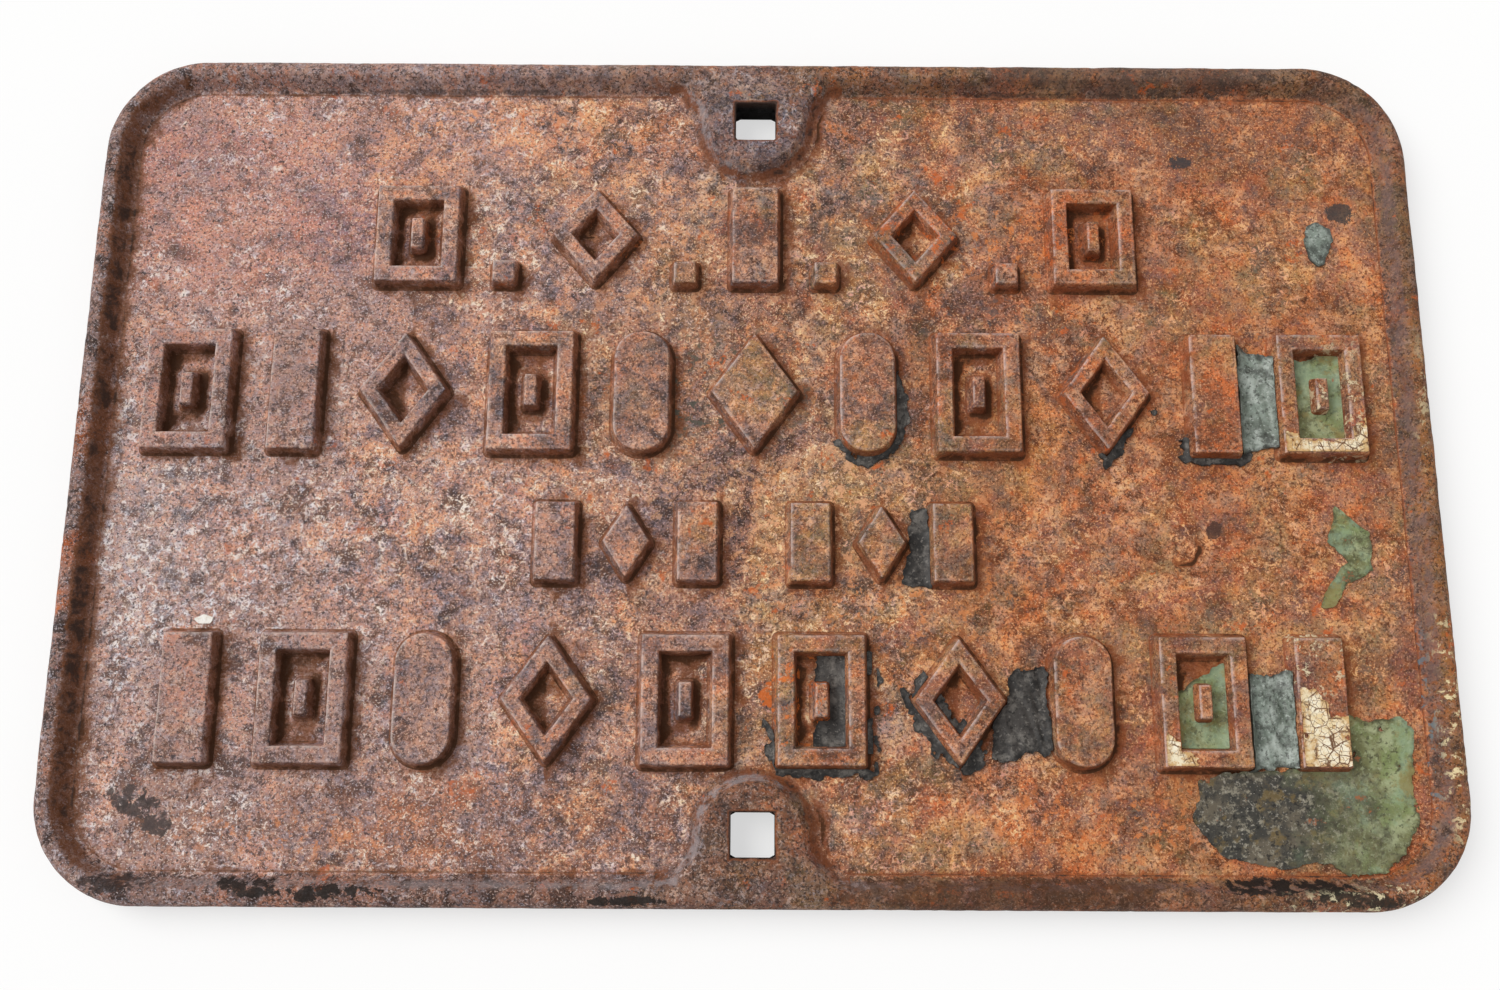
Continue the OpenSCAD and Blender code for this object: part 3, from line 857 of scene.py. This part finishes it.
# %% Raised blocks
for node in BLOCK_NODES:
    points = []
    faces = []
    marks = {"crevice": [], "edge": []}
    for block in blocks:
        if block["node"] != node:
            continue
        new_points, new_faces, crevice, edge = loft(block)
        faces += [tuple(i + len(points) for i in face) for face in new_faces]
        points += new_points
        marks["crevice"] += crevice
        marks["edge"] += edge
    piece = make_piece("cast_" + node, points, faces, block_rust, [node], marks)
    print(piece.name, len(piece.data.vertices), "vertices")

# %% [markdown]
# The rim is one section drawn along the sign's edge: upright outside, a round crown, and a long
# hollow slope down to the field. Its outside runs down over the plate's edge to the back, so the sign's
# whole side is one skin, as on the casting. Straight stretches and corners share the section and the
# skin, so they meet without a seam.

# %% Section of the rim
RIM_SLOPE = 3 * MM
RIM_RISE = CROWN_Z - FIELD_Z
CROWN_IN = 5.5 * MM
CROWN_END = 7 * MM


def rim_height(inset):
    """Height of the rim over the field, at a distance in from the sign's edge."""
    if inset < CROWN_IN:
        share = 1 - inset / CROWN_IN
        return RIM_RISE - CROWN_IN * (1 - math.sqrt(max(1 - share ** 2, 0)))
    share = min(max((inset - CROWN_END) / (RIM_W + RIM_SLOPE - CROWN_END), 0), 1)
    return RIM_RISE * (0.5 + 0.5 * math.cos(math.pi * share))


# Distances in from the edge, in mm, closer together where the section bends most.
RIM_INSETS = [0, 0.12, 0.5, 1.1, 1.9, 2.9, 4.1, 5.5, 6.8, 8, 9.1, 10.1, 11.1, 12.1, 13.1, 14, 14.7, 15.3,
              15.8, 16]
RIM_FOOT = RIM_W + RIM_SLOPE
SHADE_DIRT_FROM, SHADE_DIRT_BLUR = 6.5 * MM, 3 * MM
CREASE_W = 1.0 * MM
LIT_WORN_AT, LIT_WORN_W = 10.5 * MM, 2.8 * MM
FADE_FROM, FADE_W = 12 * MM, 4 * MM
PLATE_IN, PLATE_GAP = 1.0 * MM, 0.1 * MM
BACK_LIFT = 0.02 * MM
rim_rows = [(PLATE_IN - PLATE_GAP, BACK_LIFT - FIELD_Z, 0.0, 0.0, 0.0)]
rim_rows += [(0, (BACK_LIFT - FIELD_Z) * share, 0.0, 0.0, 0.0) for share in (1, 0.75, 0.5, 0.25)]
for inset_mm in RIM_INSETS:
    inset = inset_mm * MM
    # The slope and crease marks paint dirt and shade down the slope and a dark line in the crease at its
    # foot; the worn mark is wear and a painted highlight.
    slope_mark = min(max((inset - SHADE_DIRT_FROM) / SHADE_DIRT_BLUR, 0), max((RIM_FOOT - inset) / SHADE_DIRT_BLUR, 0), 1)
    crease_mark = math.exp(-((inset - RIM_FOOT) / CREASE_W) ** 2)
    worn_and_lit_mark = math.exp(-((inset - LIT_WORN_AT) / LIT_WORN_W) ** 2)
    rim_rows.append((inset, rim_height(inset), slope_mark, crease_mark, worn_and_lit_mark))
rim_rows.append((RIM_FOOT, -SUNK, 1.0, 1.0, 0.0))
print("rim section", len(rim_rows), "points")

# %% [markdown]
# A stretch of rim is that section carried along a path of places and outward directions, with a
# flat cap at each end.


# %% Rim pieces
RIM_STEP = 1.8 * MM
CORNER_STEPS = 44


def rim_slope_dirt_and_shade(outward):
    """Dirt and painted shade on the rim's slope: most on the left, away from the light, little on the top
    and the right.
    """
    return 0.12 + 0.55 * max(-outward[0], 0) - 0.06 * max(outward[1], 0) - 0.1 * max(outward[0], 0)


def sweep(name, path, node):
    """A stretch of rim along a path of edge points and outward directions."""
    points = []
    crevice = []
    edge = []
    fade = []
    for spot, outward in path:
        slope_dirt_and_shade = rim_slope_dirt_and_shade(outward)
        for inset, z, slope_mark, crease_mark, worn in rim_rows:
            points.append((spot[0] - outward[0] * inset, spot[1] - outward[1] * inset, FIELD_Z + z))
            crevice.append(slope_dirt_and_shade * slope_mark + 0.7 * crease_mark)
            edge.append(worn)
            fade.append(min(max((inset - FADE_FROM) / FADE_W, 0), 1))
    count = len(rim_rows)
    faces = bands(count, len(path))
    faces.append(tuple(range(count)))
    faces.append(tuple(reversed(range((len(path) - 1) * count, len(path) * count))))
    return make_piece(name, points, faces, rim_rust, [node],
                      {"crevice": crevice, "edge": edge, "fade": fade}, sided=False)


def straight(node):
    """Path along the outer edge of a straight stretch."""
    low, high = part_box(node)
    along_x = high.x - low.x > high.y - low.y
    middle = (low + high) / 2
    length = (high.x - low.x) if along_x else (high.y - low.y)
    count = int(length / RIM_STEP)
    path = []
    for i in range(count + 1):
        s = -0.5 + i / count
        if along_x:
            out = math.copysign(1, middle.y)
            path.append(((middle.x + s * length, out * HALF_H), (0, out)))
        else:
            out = math.copysign(1, middle.x)
            path.append(((out * HALF_W, middle.y + s * length), (out, 0)))
    return path


def bend(node):
    """Path round the outer edge of a corner."""
    low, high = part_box(node)
    side = math.copysign(1, low.x + high.x)
    top = math.copysign(1, low.y + high.y)
    centre = (side * (HALF_W - CORNER_R), top * (HALF_H - CORNER_R))
    path = []
    for i in range(CORNER_STEPS + 1):
        angle = math.radians(90 * i / CORNER_STEPS)
        outward = (side * math.cos(angle), top * math.sin(angle))
        path.append(((centre[0] + CORNER_R * outward[0], centre[1] + CORNER_R * outward[1]), outward))
    return path


RIM_NODES = sorted(n for n in frame["nodes"] if n.startswith("rim_"))
for node in RIM_NODES:
    path = bend(node) if "corner" in node else straight(node)
    piece = sweep("cast_" + node, path, node)
    print(piece.name, len(piece.data.vertices), "vertices")

# %% [markdown]
# The plate, the bosses and the paint films are all sheets: an area on the field, a height over each
# point of it, and a thickness. The area is given by a function that is positive inside, and each
# small square of a grid is cut along the line where that function is zero, so a ragged edge comes
# out clean.


# %% Sheets from an area
def sheet(inside, xs, ys, top, bottom):
    """Closed mesh over the area where inside(x, y) > 0, with top and bottom as heights in metres."""
    value = {}
    made = {}
    points = []
    upper = []

    def look(i, j):
        if (i, j) not in value:
            value[i, j] = inside(xs[i], ys[j])
        return value[i, j]

    def corner(i, j):
        if (i, j) not in made:
            made[i, j] = len(points)
            points.append((xs[i], ys[j]))
        return made[i, j]

    def crossing(one, other):
        key = (min(one, other), max(one, other))
        if key not in made:
            a = look(*key[0])
            b = look(*key[1])
            share = min(max(a / (a - b), 0.02), 0.98)
            made[key] = len(points)
            points.append(tuple(p + (q - p) * share for p, q in (
                (xs[key[0][0]], xs[key[1][0]]), (ys[key[0][1]], ys[key[1][1]]))))
        return made[key]

    for i in range(len(xs) - 1):
        for j in range(len(ys) - 1):
            cell = [(i, j), (i + 1, j), (i + 1, j + 1), (i, j + 1)]
            signs = [look(*c) > 0 for c in cell]
            if not any(signs):
                continue
            face = []
            for k in range(4):
                here = cell[k]
                there = cell[(k + 1) % 4]
                if signs[k]:
                    face.append(corner(*here))
                if signs[k] != signs[(k + 1) % 4]:
                    face.append(crossing(here, there))
            upper.append(tuple(face))
    count = len(points)
    full = [(x, y, top(x, y)) for x, y in points] + [(x, y, bottom(x, y)) for x, y in points]
    used = {}
    for face in upper:
        for k, a in enumerate(face):
            b = face[(k + 1) % len(face)]
            used[a, b] = True
    faces = list(upper)
    faces += [tuple(reversed([i + count for i in face])) for face in upper]
    faces += [(b, a, a + count, b + count) for a, b in used if (b, a) not in used]
    return full, faces


def grid(low, high, step, exact=()):
    """Grid lines from low to high, with some lines at exact places."""
    lines = list(np.linspace(low, high, max(int(round((high - low) / step)), 1) + 1))
    for place in exact:
        nearest = min(range(len(lines)), key=lambda i: abs(lines[i] - place))
        lines[nearest] = place
    return [float(v) for v in lines]


def hole_gap(x, y):
    """Distance outside the nearer square bolt hole."""
    return max(abs(x) - HOLE_HALF, abs(abs(y) - HOLE_Y) - HOLE_HALF)


def edge_gap(x, y):
    """Distance inside the sign's edge."""
    dx = abs(x) - (HALF_W - CORNER_R)
    dy = abs(y) - (HALF_H - CORNER_R)
    if dx > 0 and dy > 0:
        return CORNER_R - math.hypot(dx, dy)
    return CORNER_R - max(dx, dy)


print("edge gap at the middle", round(edge_gap(0, 0) / MM, 1), "mm")

# %% [markdown]
# The field is the plate's top. Dirt and dark rust gather where a block or the rim stands on it, and
# the field there is also darkened as painted shade, so each point of the field is marked with how near
# it lies to the nearest foot.


# %% Distance from the blocks
def outline_gap(block, x, y):
    """Distance outside a block's outline."""
    dx = abs(x - block["x"])
    dy = abs(y - block["y"])
    if block["lozenge"]:
        length = math.hypot(block["half_w"], block["half_h"])
        return (dx * block["half_h"] + dy * block["half_w"]) / length - block["across"]
    ox = dx - block["half_w"] + block["round"]
    oy = dy - block["half_h"] + block["round"]
    return math.hypot(max(ox, 0), max(oy, 0)) + min(max(ox, oy), 0) - block["round"]


def block_gap(block, x, y):
    """Distance outside a block's foot, or inside its window."""
    outside = outline_gap(block, x, y)
    if block["wall"]:
        return max(outside, -outside - block["wall"])
    return outside


def in_window(x, y):
    """Whether a place on the field lies in the window of a block."""
    near = (b for b in blocks if b["wall"] and abs(x - b["x"]) < b["half_w"])
    return any(outline_gap(b, x, y) < -b["wall"] for b in near)


REACH = 14 * MM
FAR = 1.0
TAB_SLOPE = 10 * MM
BOSS_RUNOUT = 12 * MM
BOSS_END = 2 * MM


def block_gap_all(x, y):
    """Distance outside the nearest block, or a far one where no block is near."""
    nearest = FAR
    for block in blocks:
        if abs(x - block["x"]) < block["half_w"] + REACH and abs(y - block["y"]) < block["half_h"] + REACH:
            nearest = min(nearest, block_gap(block, x, y))
    return nearest


def runout(x):
    """How much of a boss is left towards its two ends, where it runs out into the rim."""
    share = min(max((BOSS_HALF - BOSS_END - abs(x)) / BOSS_RUNOUT, 0), 1)
    return share * share * (3 - 2 * share)


def tab_gap(x, inset):
    """Distance outside a boss's flat top, at a distance in from the sign's edge."""
    hole_inset = HALF_H - HOLE_Y
    flare_inset = RIM_W + FLARE_R
    if inset > hole_inset:
        return math.hypot(x, inset - hole_inset) - BOSS_R
    if inset < flare_inset:
        if abs(x) > BOSS_HALF:
            return inset - RIM_W
        return FLARE_R - math.hypot(abs(x) - BOSS_HALF, inset - flare_inset)
    return abs(x) - BOSS_R


def foot_gap(x, y):
    """Distance from the nearest foot of a block, a boss or the rim."""
    nearest = edge_gap(x, y) - RIM_FOOT
    if abs(x) < BOSS_HALF + REACH:
        foot = 0.7 * TAB_SLOPE - REACH * (1 - runout(x))
        nearest = min(nearest, tab_gap(x, HALF_H - abs(y)) - foot)
    return min(nearest, block_gap_all(x, y))


print("foot gap at the middle", round(foot_gap(0, 0) / MM, 1), "mm")

# %% [markdown]
# The plate runs under the rim to just inside the sign's edge. Its top carries the cast skin, its back
# is flat, and both square holes go right through.

# %% Field plate
BLISTER = (207 * MM, -42 * MM)
BLISTER_R, BLISTER_RISE, BLISTER_W = 5 * MM, 1.1 * MM, 1.5 * MM
BLISTER_REACH = 11 * MM
BLISTER_BEND, BLISTER_GRAIN = 1.8 * MM, 5 * MM
BLISTER_FOOT_R, BLISTER_FOOT_W = 7 * MM, 1.4 * MM
FOOT_SHADE_DIRT_W, WINDOW_SHADE_DIRT_W = 4.5 * MM, 11 * MM
FEEL = 0.5 * MM
HOLE_EDGE = 0.3 * MM
TRACE = 0.01 * MM
FIELD_STEP = 2 * MM


def blister_gap(x, y):
    """Distance from the blister's middle, a little out of round."""
    bent = BLISTER_BEND * noise.noise(Vector((x, y, 0)) / BLISTER_GRAIN)
    return math.hypot(x - BLISTER[0], 0.85 * (y - BLISTER[1])) + bent


def field_level(x, y):
    """The field's level, with the low ring of one gas blister left by the casting."""
    return FIELD_Z + BLISTER_RISE * math.exp(-((blister_gap(x, y) - BLISTER_R) / BLISTER_W) ** 2)


def between(lines, middle):
    """Grid lines with one more halfway between each pair near a place."""
    halves = [(a + b) / 2 for a, b in zip(lines, lines[1:])]
    return sorted(lines + [half for half in halves if abs(half - middle) < BLISTER_REACH])


xs = grid(-HALF_W, HALF_W, FIELD_STEP, (-HOLE_HALF, HOLE_HALF))
ys = grid(-HALF_H, HALF_H, FIELD_STEP, [s * HOLE_Y + t * HOLE_HALF for s in (-1, 1) for t in (-1, 1)])
xs = [xs[0] - FIELD_STEP] + xs + [xs[-1] + FIELD_STEP]
ys = [ys[0] - FIELD_STEP] + ys + [ys[-1] + FIELD_STEP]
xs = between(xs, BLISTER[0])
ys = between(ys, BLISTER[1])
points, faces = sheet(lambda x, y: min(edge_gap(x, y) - PLATE_IN, hole_gap(x, y) + TRACE), xs, ys,
                      field_level, lambda x, y: 0.0)


def field_dirt_and_shade(x, y):
    """Dirt and painted shade in the windows and beside the blocks, most on their right and below, away from
    the light.
    """
    # Painted shade: the walls of the holes are marked full, so they go nearly black.
    if hole_gap(x, y) < HOLE_EDGE:
        return 2.0
    gap = foot_gap(x, y)
    if gap > REACH:
        return 0.0
    lean = (foot_gap(x + FEEL, y) - foot_gap(x - FEEL, y)) / (2 * FEEL)
    fall = (foot_gap(x, y - FEEL) - foot_gap(x, y + FEEL)) / (2 * FEEL)
    if gap >= edge_gap(x, y) - RIM_FOOT:
        return (0.55 + 0.3 * lean) * math.exp(-max(gap, 0) / ((1.2 + 3 * max(lean, 0)) * MM))
    hollow, reach = (0.4, WINDOW_SHADE_DIRT_W) if in_window(x, y) else (0.0, FOOT_SHADE_DIRT_W)
    return max(0.45 + 0.6 * lean + 0.22 * fall + hollow, 0) * math.exp(-max(gap, 0) / reach)


def blister_dirt_and_shade(x, y):
    """Dirt and painted shade in the crease round the blister, most on its lower right."""
    side = 0.6 + 0.4 * math.copysign(1, x - BLISTER[0] - y + BLISTER[1])
    return side * math.exp(-((blister_gap(x, y) - BLISTER_FOOT_R) / BLISTER_FOOT_W) ** 2)


crevice = []
for x, y, z in points:
    on_top = z > BACK_EDGE or hole_gap(x, y) < HOLE_EDGE
    crevice.append(max(field_dirt_and_shade(x, y), blister_dirt_and_shade(x, y)) if on_top else 0.0)
plate = make_piece("cast_field_plate", points, faces, field_rust, ["field_plate"],
                   {"crevice": crevice, "edge": [0.0] * len(points)})
print("plate", len(plate.data.vertices), "vertices")

# %% [markdown]
# A boss is a flat tab with a round end that spreads into the rim. It is drawn as one sheet whose
# height is the larger of the rim's own section and the tab, and the tab runs out softly on all sides.


# %% Bolt bosses
TAB_WEAR = 0.5 * MM
TAB_RISE = boss_high.z - FIELD_Z - TAB_WEAR
LEAST_RISE = 0.02 * MM
MARGIN = 1 * MM
HOLE_WEAR = 1.2 * MM
HOLE_SHADE_DIRT_W = 0.9 * MM
HOLE_DARK_RISE = 4 * MM
BOSS_STEP = 1.1 * MM
FOOT_RISE, FOOT_BLUR = 2 * MM, 2.6 * MM
FLANK_RISE, FLANK_BLUR = 4.5 * MM, 2.2 * MM
FADE_RISE = 2 * MM
OUTER_W = 2 * MM


def boss_height(x, inset):
    """Height of a boss and its stretch of rim over the field."""
    share = min(max((tab_gap(x, inset) + 0.2 * TAB_SLOPE) / TAB_SLOPE, 0), 1)
    tab = TAB_RISE * runout(x) * (0.5 + 0.5 * math.cos(math.pi * share ** 0.62))
    height = max(tab, rim_height(inset)) if inset > CROWN_IN else rim_height(inset)
    if height < LEAST_RISE:
        height = -SUNK
    worn = max(0.0, HOLE_WEAR - max(abs(x) - HOLE_HALF, abs(inset - HALF_H + HOLE_Y) - HOLE_HALF))
    return height - 0.5 * worn


def boss_floor(inset):
    """Underside of a boss: at the sign's back on the edge, then up into the plate."""
    return BACK_LIFT + (FIELD_Z - 3 * SUNK - BACK_LIFT) * min(max(inset / RIM_W, 0), 1)


for node, top_side in (("top_boss", 1), ("bottom_boss", -1)):
    xs = grid(-BOSS_HALF, BOSS_HALF, BOSS_STEP, (-HOLE_HALF, HOLE_HALF))
    insets = grid(-MARGIN, HALF_H - boss_low.y + TAB_SLOPE, BOSS_STEP,
                  (0.0, HALF_H - HOLE_Y - HOLE_HALF, HALF_H - HOLE_Y + HOLE_HALF))

    def boss_area(x, y, top_side=top_side):
        inset = HALF_H - top_side * y
        tab = TAB_SLOPE - tab_gap(x, inset)
        return min(max(tab, RIM_FOOT - inset), inset + TRACE, hole_gap(x, y) + TRACE)

    ys = sorted(top_side * (HALF_H - inset) for inset in insets)
    points, faces = sheet(boss_area, xs, ys,
                          lambda x, y: FIELD_Z + boss_height(x, HALF_H - abs(y)),
                          lambda x, y: boss_floor(HALF_H - abs(y)))
    rise = np.array([p[2] for p in points]) - FIELD_Z
    # Dirt and painted shade at the boss's foot, round its holes and nearly black on their walls; a painted
    # highlight on its flank.
    crevice = 0.62 * np.exp(-((rise - FOOT_RISE) / FOOT_BLUR) ** 2)
    flank_highlight = 1.6 * np.exp(-((rise - FLANK_RISE) / FLANK_BLUR) ** 2)
    around = np.array([hole_gap(p[0], p[1]) for p in points])
    crevice = np.maximum(crevice, 1.3 * np.exp(-np.maximum(around, 0) / HOLE_SHADE_DIRT_W))
    crevice[(around < HOLE_EDGE) & (rise < HOLE_DARK_RISE)] = 2
    fade = np.clip(1.0 - rise / FADE_RISE, 0, 1)
    outside = np.array([HALF_H - abs(p[1]) for p in points]) < OUTER_W
    for mark in (crevice, flank_highlight, fade):
        mark[outside] = 0
    piece = make_piece("cast_" + node, points, faces, rim_rust, [node],
                       {"crevice": crevice, "edge": flank_highlight, "fade": fade})
    print(piece.name, len(piece.data.vertices), "vertices")

# %% [markdown]
# A paint scrap has a torn edge. Its outline is drawn as a few points in millimetres on the field, and
# noise then frays it. Paint stops at the foot of a block, or lips up against its side.


# %% Torn outlines
FRAY_W = 9 * MM
THIN_DEEP, THIN_W = 9 * MM, 8 * MM


def torn(outline, fray_mm=2.6, holes=0.0):
    """Area function of a torn scrap: distance inside a drawn outline, frayed by noise."""
    ends = [(x * MM, y * MM) for x, y in outline]

    def inside(x, y):
        nearest = FAR
        within = False
        for (x0, y0), (x1, y1) in zip(ends, ends[1:] + ends[:1]):
            along = ((x - x0) * (x1 - x0) + (y - y0) * (y1 - y0)) / ((x1 - x0) ** 2 + (y1 - y0) ** 2)
            along = min(max(along, 0), 1)
            nearest = min(nearest, math.hypot(x - x0 - along * (x1 - x0), y - y0 - along * (y1 - y0)))
            if (y0 > y) != (y1 > y) and x < x0 + (y - y0) / (y1 - y0) * (x1 - x0):
                within = not within
        place = Vector((x, y, 0.3))
        fray = noise.fractal(place / FRAY_W, 0.6, 2.3, 5)
        gap = (nearest if within else -nearest) + fray_mm * MM * fray
        if holes:
            gap = min(gap, THIN_DEEP * (1 - holes - noise.fractal(place / THIN_W, 0.8, 2.1, 4)))
        return gap

    return inside


def block_at(row, x_mm):
    """The block of a row, bars apart, that is nearest to a place across the sign."""
    return min((b for b in blocks if b["node"].startswith(row) and "bar" not in b["node"]),
               key=lambda b: abs(b["x"] - x_mm * MM))


FILM_RISE = 0.6 * MM
FILM_ROOT = 0.5 * MM
FILM_STEP = 0.9 * MM
FILM_TUCK = 0.3 * MM
CURL_H, CURL_IN, CURL_W = 0.7 * MM, 1.3 * MM, 7 * MM
PLEAT_W, PLEAT_L = 3.4 * MM, 26 * MM
LIP_W = 1.6 * MM
BORDER_W = 1.6 * MM
BRUSH_H, BRUSH_W = 0.12 * MM, 3 * MM


def film(name, inside, box_mm, material, base=FIELD_Z, lip_mm=1.2, folds_mm=0.0,
         step=FILM_STEP, border_darkening=1.0):
    """A paint skin over an area of the field, or of a face at another height."""
    x0, y0, x1, y1 = (v * MM for v in box_mm)

    def area(x, y):
        if base > FIELD_Z:
            return inside(x, y)
        return min(inside(x, y), block_gap_all(x, y) + FILM_TUCK)

    def top(x, y):
        gap = inside(x, y)
        point = Vector((x, y, 0.7))
        lifted = max(noise.noise(point / CURL_W) + 0.3, 0)
        curl = CURL_H * math.exp(-max(gap, 0) / CURL_IN) * lifted
        pleat = Vector(((x + 0.3 * y) / PLEAT_W, y / PLEAT_L, 0.2))
        fold = folds_mm * MM * (0.5 + noise.fractal(pleat, 0.8, 2.0, 3))
        lip = 0.0
        if base <= FIELD_Z:
            lip = lip_mm * MM * math.exp(-max(block_gap_all(x, y), 0) / LIP_W)
        return base + FILM_RISE + curl + max(fold, 0) + lip + BRUSH_H * noise.noise(point / BRUSH_W)

    points, faces = sheet(area, grid(x0, x1, step), grid(y0, y1, step), top, lambda x, y: base - FILM_ROOT)
    # Dirt and painted shade along the torn edge, unless turned off for this film.
    border = [border_darkening * math.exp(-max(inside(p[0], p[1]), 0) / BORDER_W) for p in points]
    piece = make_piece(name, points, faces, material, marks={"border": border}, rough=0.0)
    print(name, len(points), "vertices")
    return piece


print("last block of row 4 at", round(block_at("row_4", 300)["x"] / MM, 1), "mm")

# %% [markdown]
# The large scrap is in the lower right corner, the sheltered end of the sign: green topcoat on its
# right, worn to the dark undercoat on its left. A smaller scrap hangs on the right, another higher up.

# %% Green scraps
film("green_scrap_corner",
     torn([(205, -152), (206, -160), (204, -167), (209, -180), (217, -186), (232, -189), (240, -190),
           (262, -189), (272, -193), (290, -194), (300, -184), (307, -168), (306, -150), (308, -128),
           (303, -121), (290, -124), (276, -120), (250, -146), (222, -148)], 2.0, 0.22),
     (198, -202, 314, -110), green_skin)
film("green_scrap_right",
     torn([(281, -20), (288, -27), (297, -33), (297, -52), (290, -56), (284, -58), (276, -70), (269, -71),
           (275, -61), (279, -55), (285, -48), (276, -38), (279, -28)], 1.2),
     (264, -77, 302, -14), green_skin)
film("green_scrap_high",
     torn([(279, 107), (283, 102), (287, 104), (289, 113), (292, 117), (290, 124), (284, 127), (278, 125),
           (277, 117)], 1.2),
     (271, 96, 297, 133), grey_skin)

# %% [markdown]
# Between the last blocks of two rows the skin has come loose and sags in folds like old cloth. The
# windows there still hold paint too.

# %% Sagging skins
film("grey_skin_row_4", torn([(230, -103), (254, -100), (255, -145), (231, -147)], 2.5),
     (228, -152, 256, -94), grey_skin, lip_mm=4.0, folds_mm=2.0)
film("grey_skin_row_2", torn([(238, 59), (257, 54), (257, 8), (236, 5)], 2.0),
     (234, 0, 258, 64), grey_skin, lip_mm=3.0, folds_mm=1.4)
film("green_skin_row_2_window", torn([(262, 52), (292, 58), (292, 8), (262, 10)], 2.0),
     (262, 8, 292, 60), green_skin, lip_mm=1.5)
film("green_skin_row_4_window", torn([(196, -112), (224, -96), (224, -140), (196, -140)], 2.0),
     (196, -140, 224, -90), green_skin, lip_mm=1.5)

# %% [markdown]
# Bitumen undercoat was thickest in the corners round the blocks, and black remains of it are left
# beside some of them.


# %% Black remains
FRINGE_GRAIN = 10 * MM


def fringe(block, width_mm, outline):
    """A ragged strip along a block's foot, within a drawn outline."""
    scrap = torn(outline, 2.0)

    def inside(x, y):
        ragged = 0.7 + noise.fractal(Vector((x, y, 0.1)) / FRINGE_GRAIN, 0.7, 2.2, 4)
        return min(scrap(x, y), width_mm * MM * ragged - block_gap(block, x, y))

    return inside


film("black_skin_row_4_gap",
     torn([(122, -103), (137, -98), (139, -142), (128, -140), (110, -144), (114, -124)], 2.6),
     (102, -150, 142, -94), black_skin, lip_mm=2.0, folds_mm=0.8)
film("black_skin_row_4_window",
     torn([(29, -92), (56, -94), (56, -104), (44, -108), (45, -120), (56, -124), (56, -142),
           (29, -140)], 3.0),
     (28, -140, 56, -92), black_skin)
film("black_skin_row_4_panel",
     fringe(block_at("row_4", 42), 5.5,
            [(0, -120), (10, -152), (72, -154), (72, -80), (60, -80), (56, -148), (18, -140)]),
     (4, -158, 74, -78), black_skin)
film("black_skin_row_4_lozenge",
     fringe(block_at("row_4", 96), 6.5, [(66, -100), (80, -100), (112, -140), (112, -154), (80, -154)]),
     (60, -158, 116, -96), black_skin)
film("black_skin_row_3", torn([(74, -22), (84, -22), (85, -62), (68, -62), (75, -44)], 2.0),
     (64, -66, 88, -18), black_skin)
film("black_skin_row_2",
     fringe(block_at("row_2", 52), 5.0, [(36, 12), (44, -4), (76, -4), (76, 46), (66, 44), (60, 12)]),
     (34, -6, 80, 50), black_skin)
for x_mm in (170, 224):
    left = x_mm - 30
    right = x_mm + 30
    film("black_skin_row_2_strip_%d" % x_mm,
         fringe(block_at("row_2", x_mm), 4.0, [(left, 22), (left, -6), (right, -6), (right, 30), (x_mm, 6)]),
         (left - 2, -8, right + 2, 32), black_skin)

# %% [markdown]
# Cream paint picked out the raised faces. A few cracked patches are left on the last blocks, and one
# white flake lies on the field.

# %% Cream remains
WORN_EDGE = 2.4 * MM
last = block_at("row_4", 300)
FACE_Z = FIELD_Z + last["height"]


def on_face(block, outline):
    """A torn scrap that stops short of a face's worn edge."""
    scrap = torn(outline, 3.0, 0.42)
    return lambda x, y: min(scrap(x, y), -block_gap(block, x, y) - WORN_EDGE)


film("cream_scrap_row_4",
     on_face(last, [(250, -112), (262, -108), (267, -124), (280, -122), (280, -150), (250, -150)]),
     (250, -150, 281, -104), cream_skin, FACE_Z)
film("cream_scrap_row_4_panel",
     on_face(block_at("row_4", 210), [(186, -126), (194, -130), (204, -142), (202, -150), (186, -150)]),
     (186, -150, 206, -122), cream_skin, FACE_Z)
film("cream_scrap_row_2",
     on_face(block_at("row_2", 300), [(258, 14), (280, 10), (292, 16), (302, 26), (302, 0), (256, 0)]),
     (254, 0, 301, 30), cream_skin, FACE_Z)
film("white_chip",
     torn([(-265.5, -78.5), (-261, -76.2), (-256.5, -77.8), (-258, -80.4), (-263, -80.8)], 0.5),
     (-269, -83, -253, -73), white_skin, step=0.6 * MM, border_darkening=0.0)
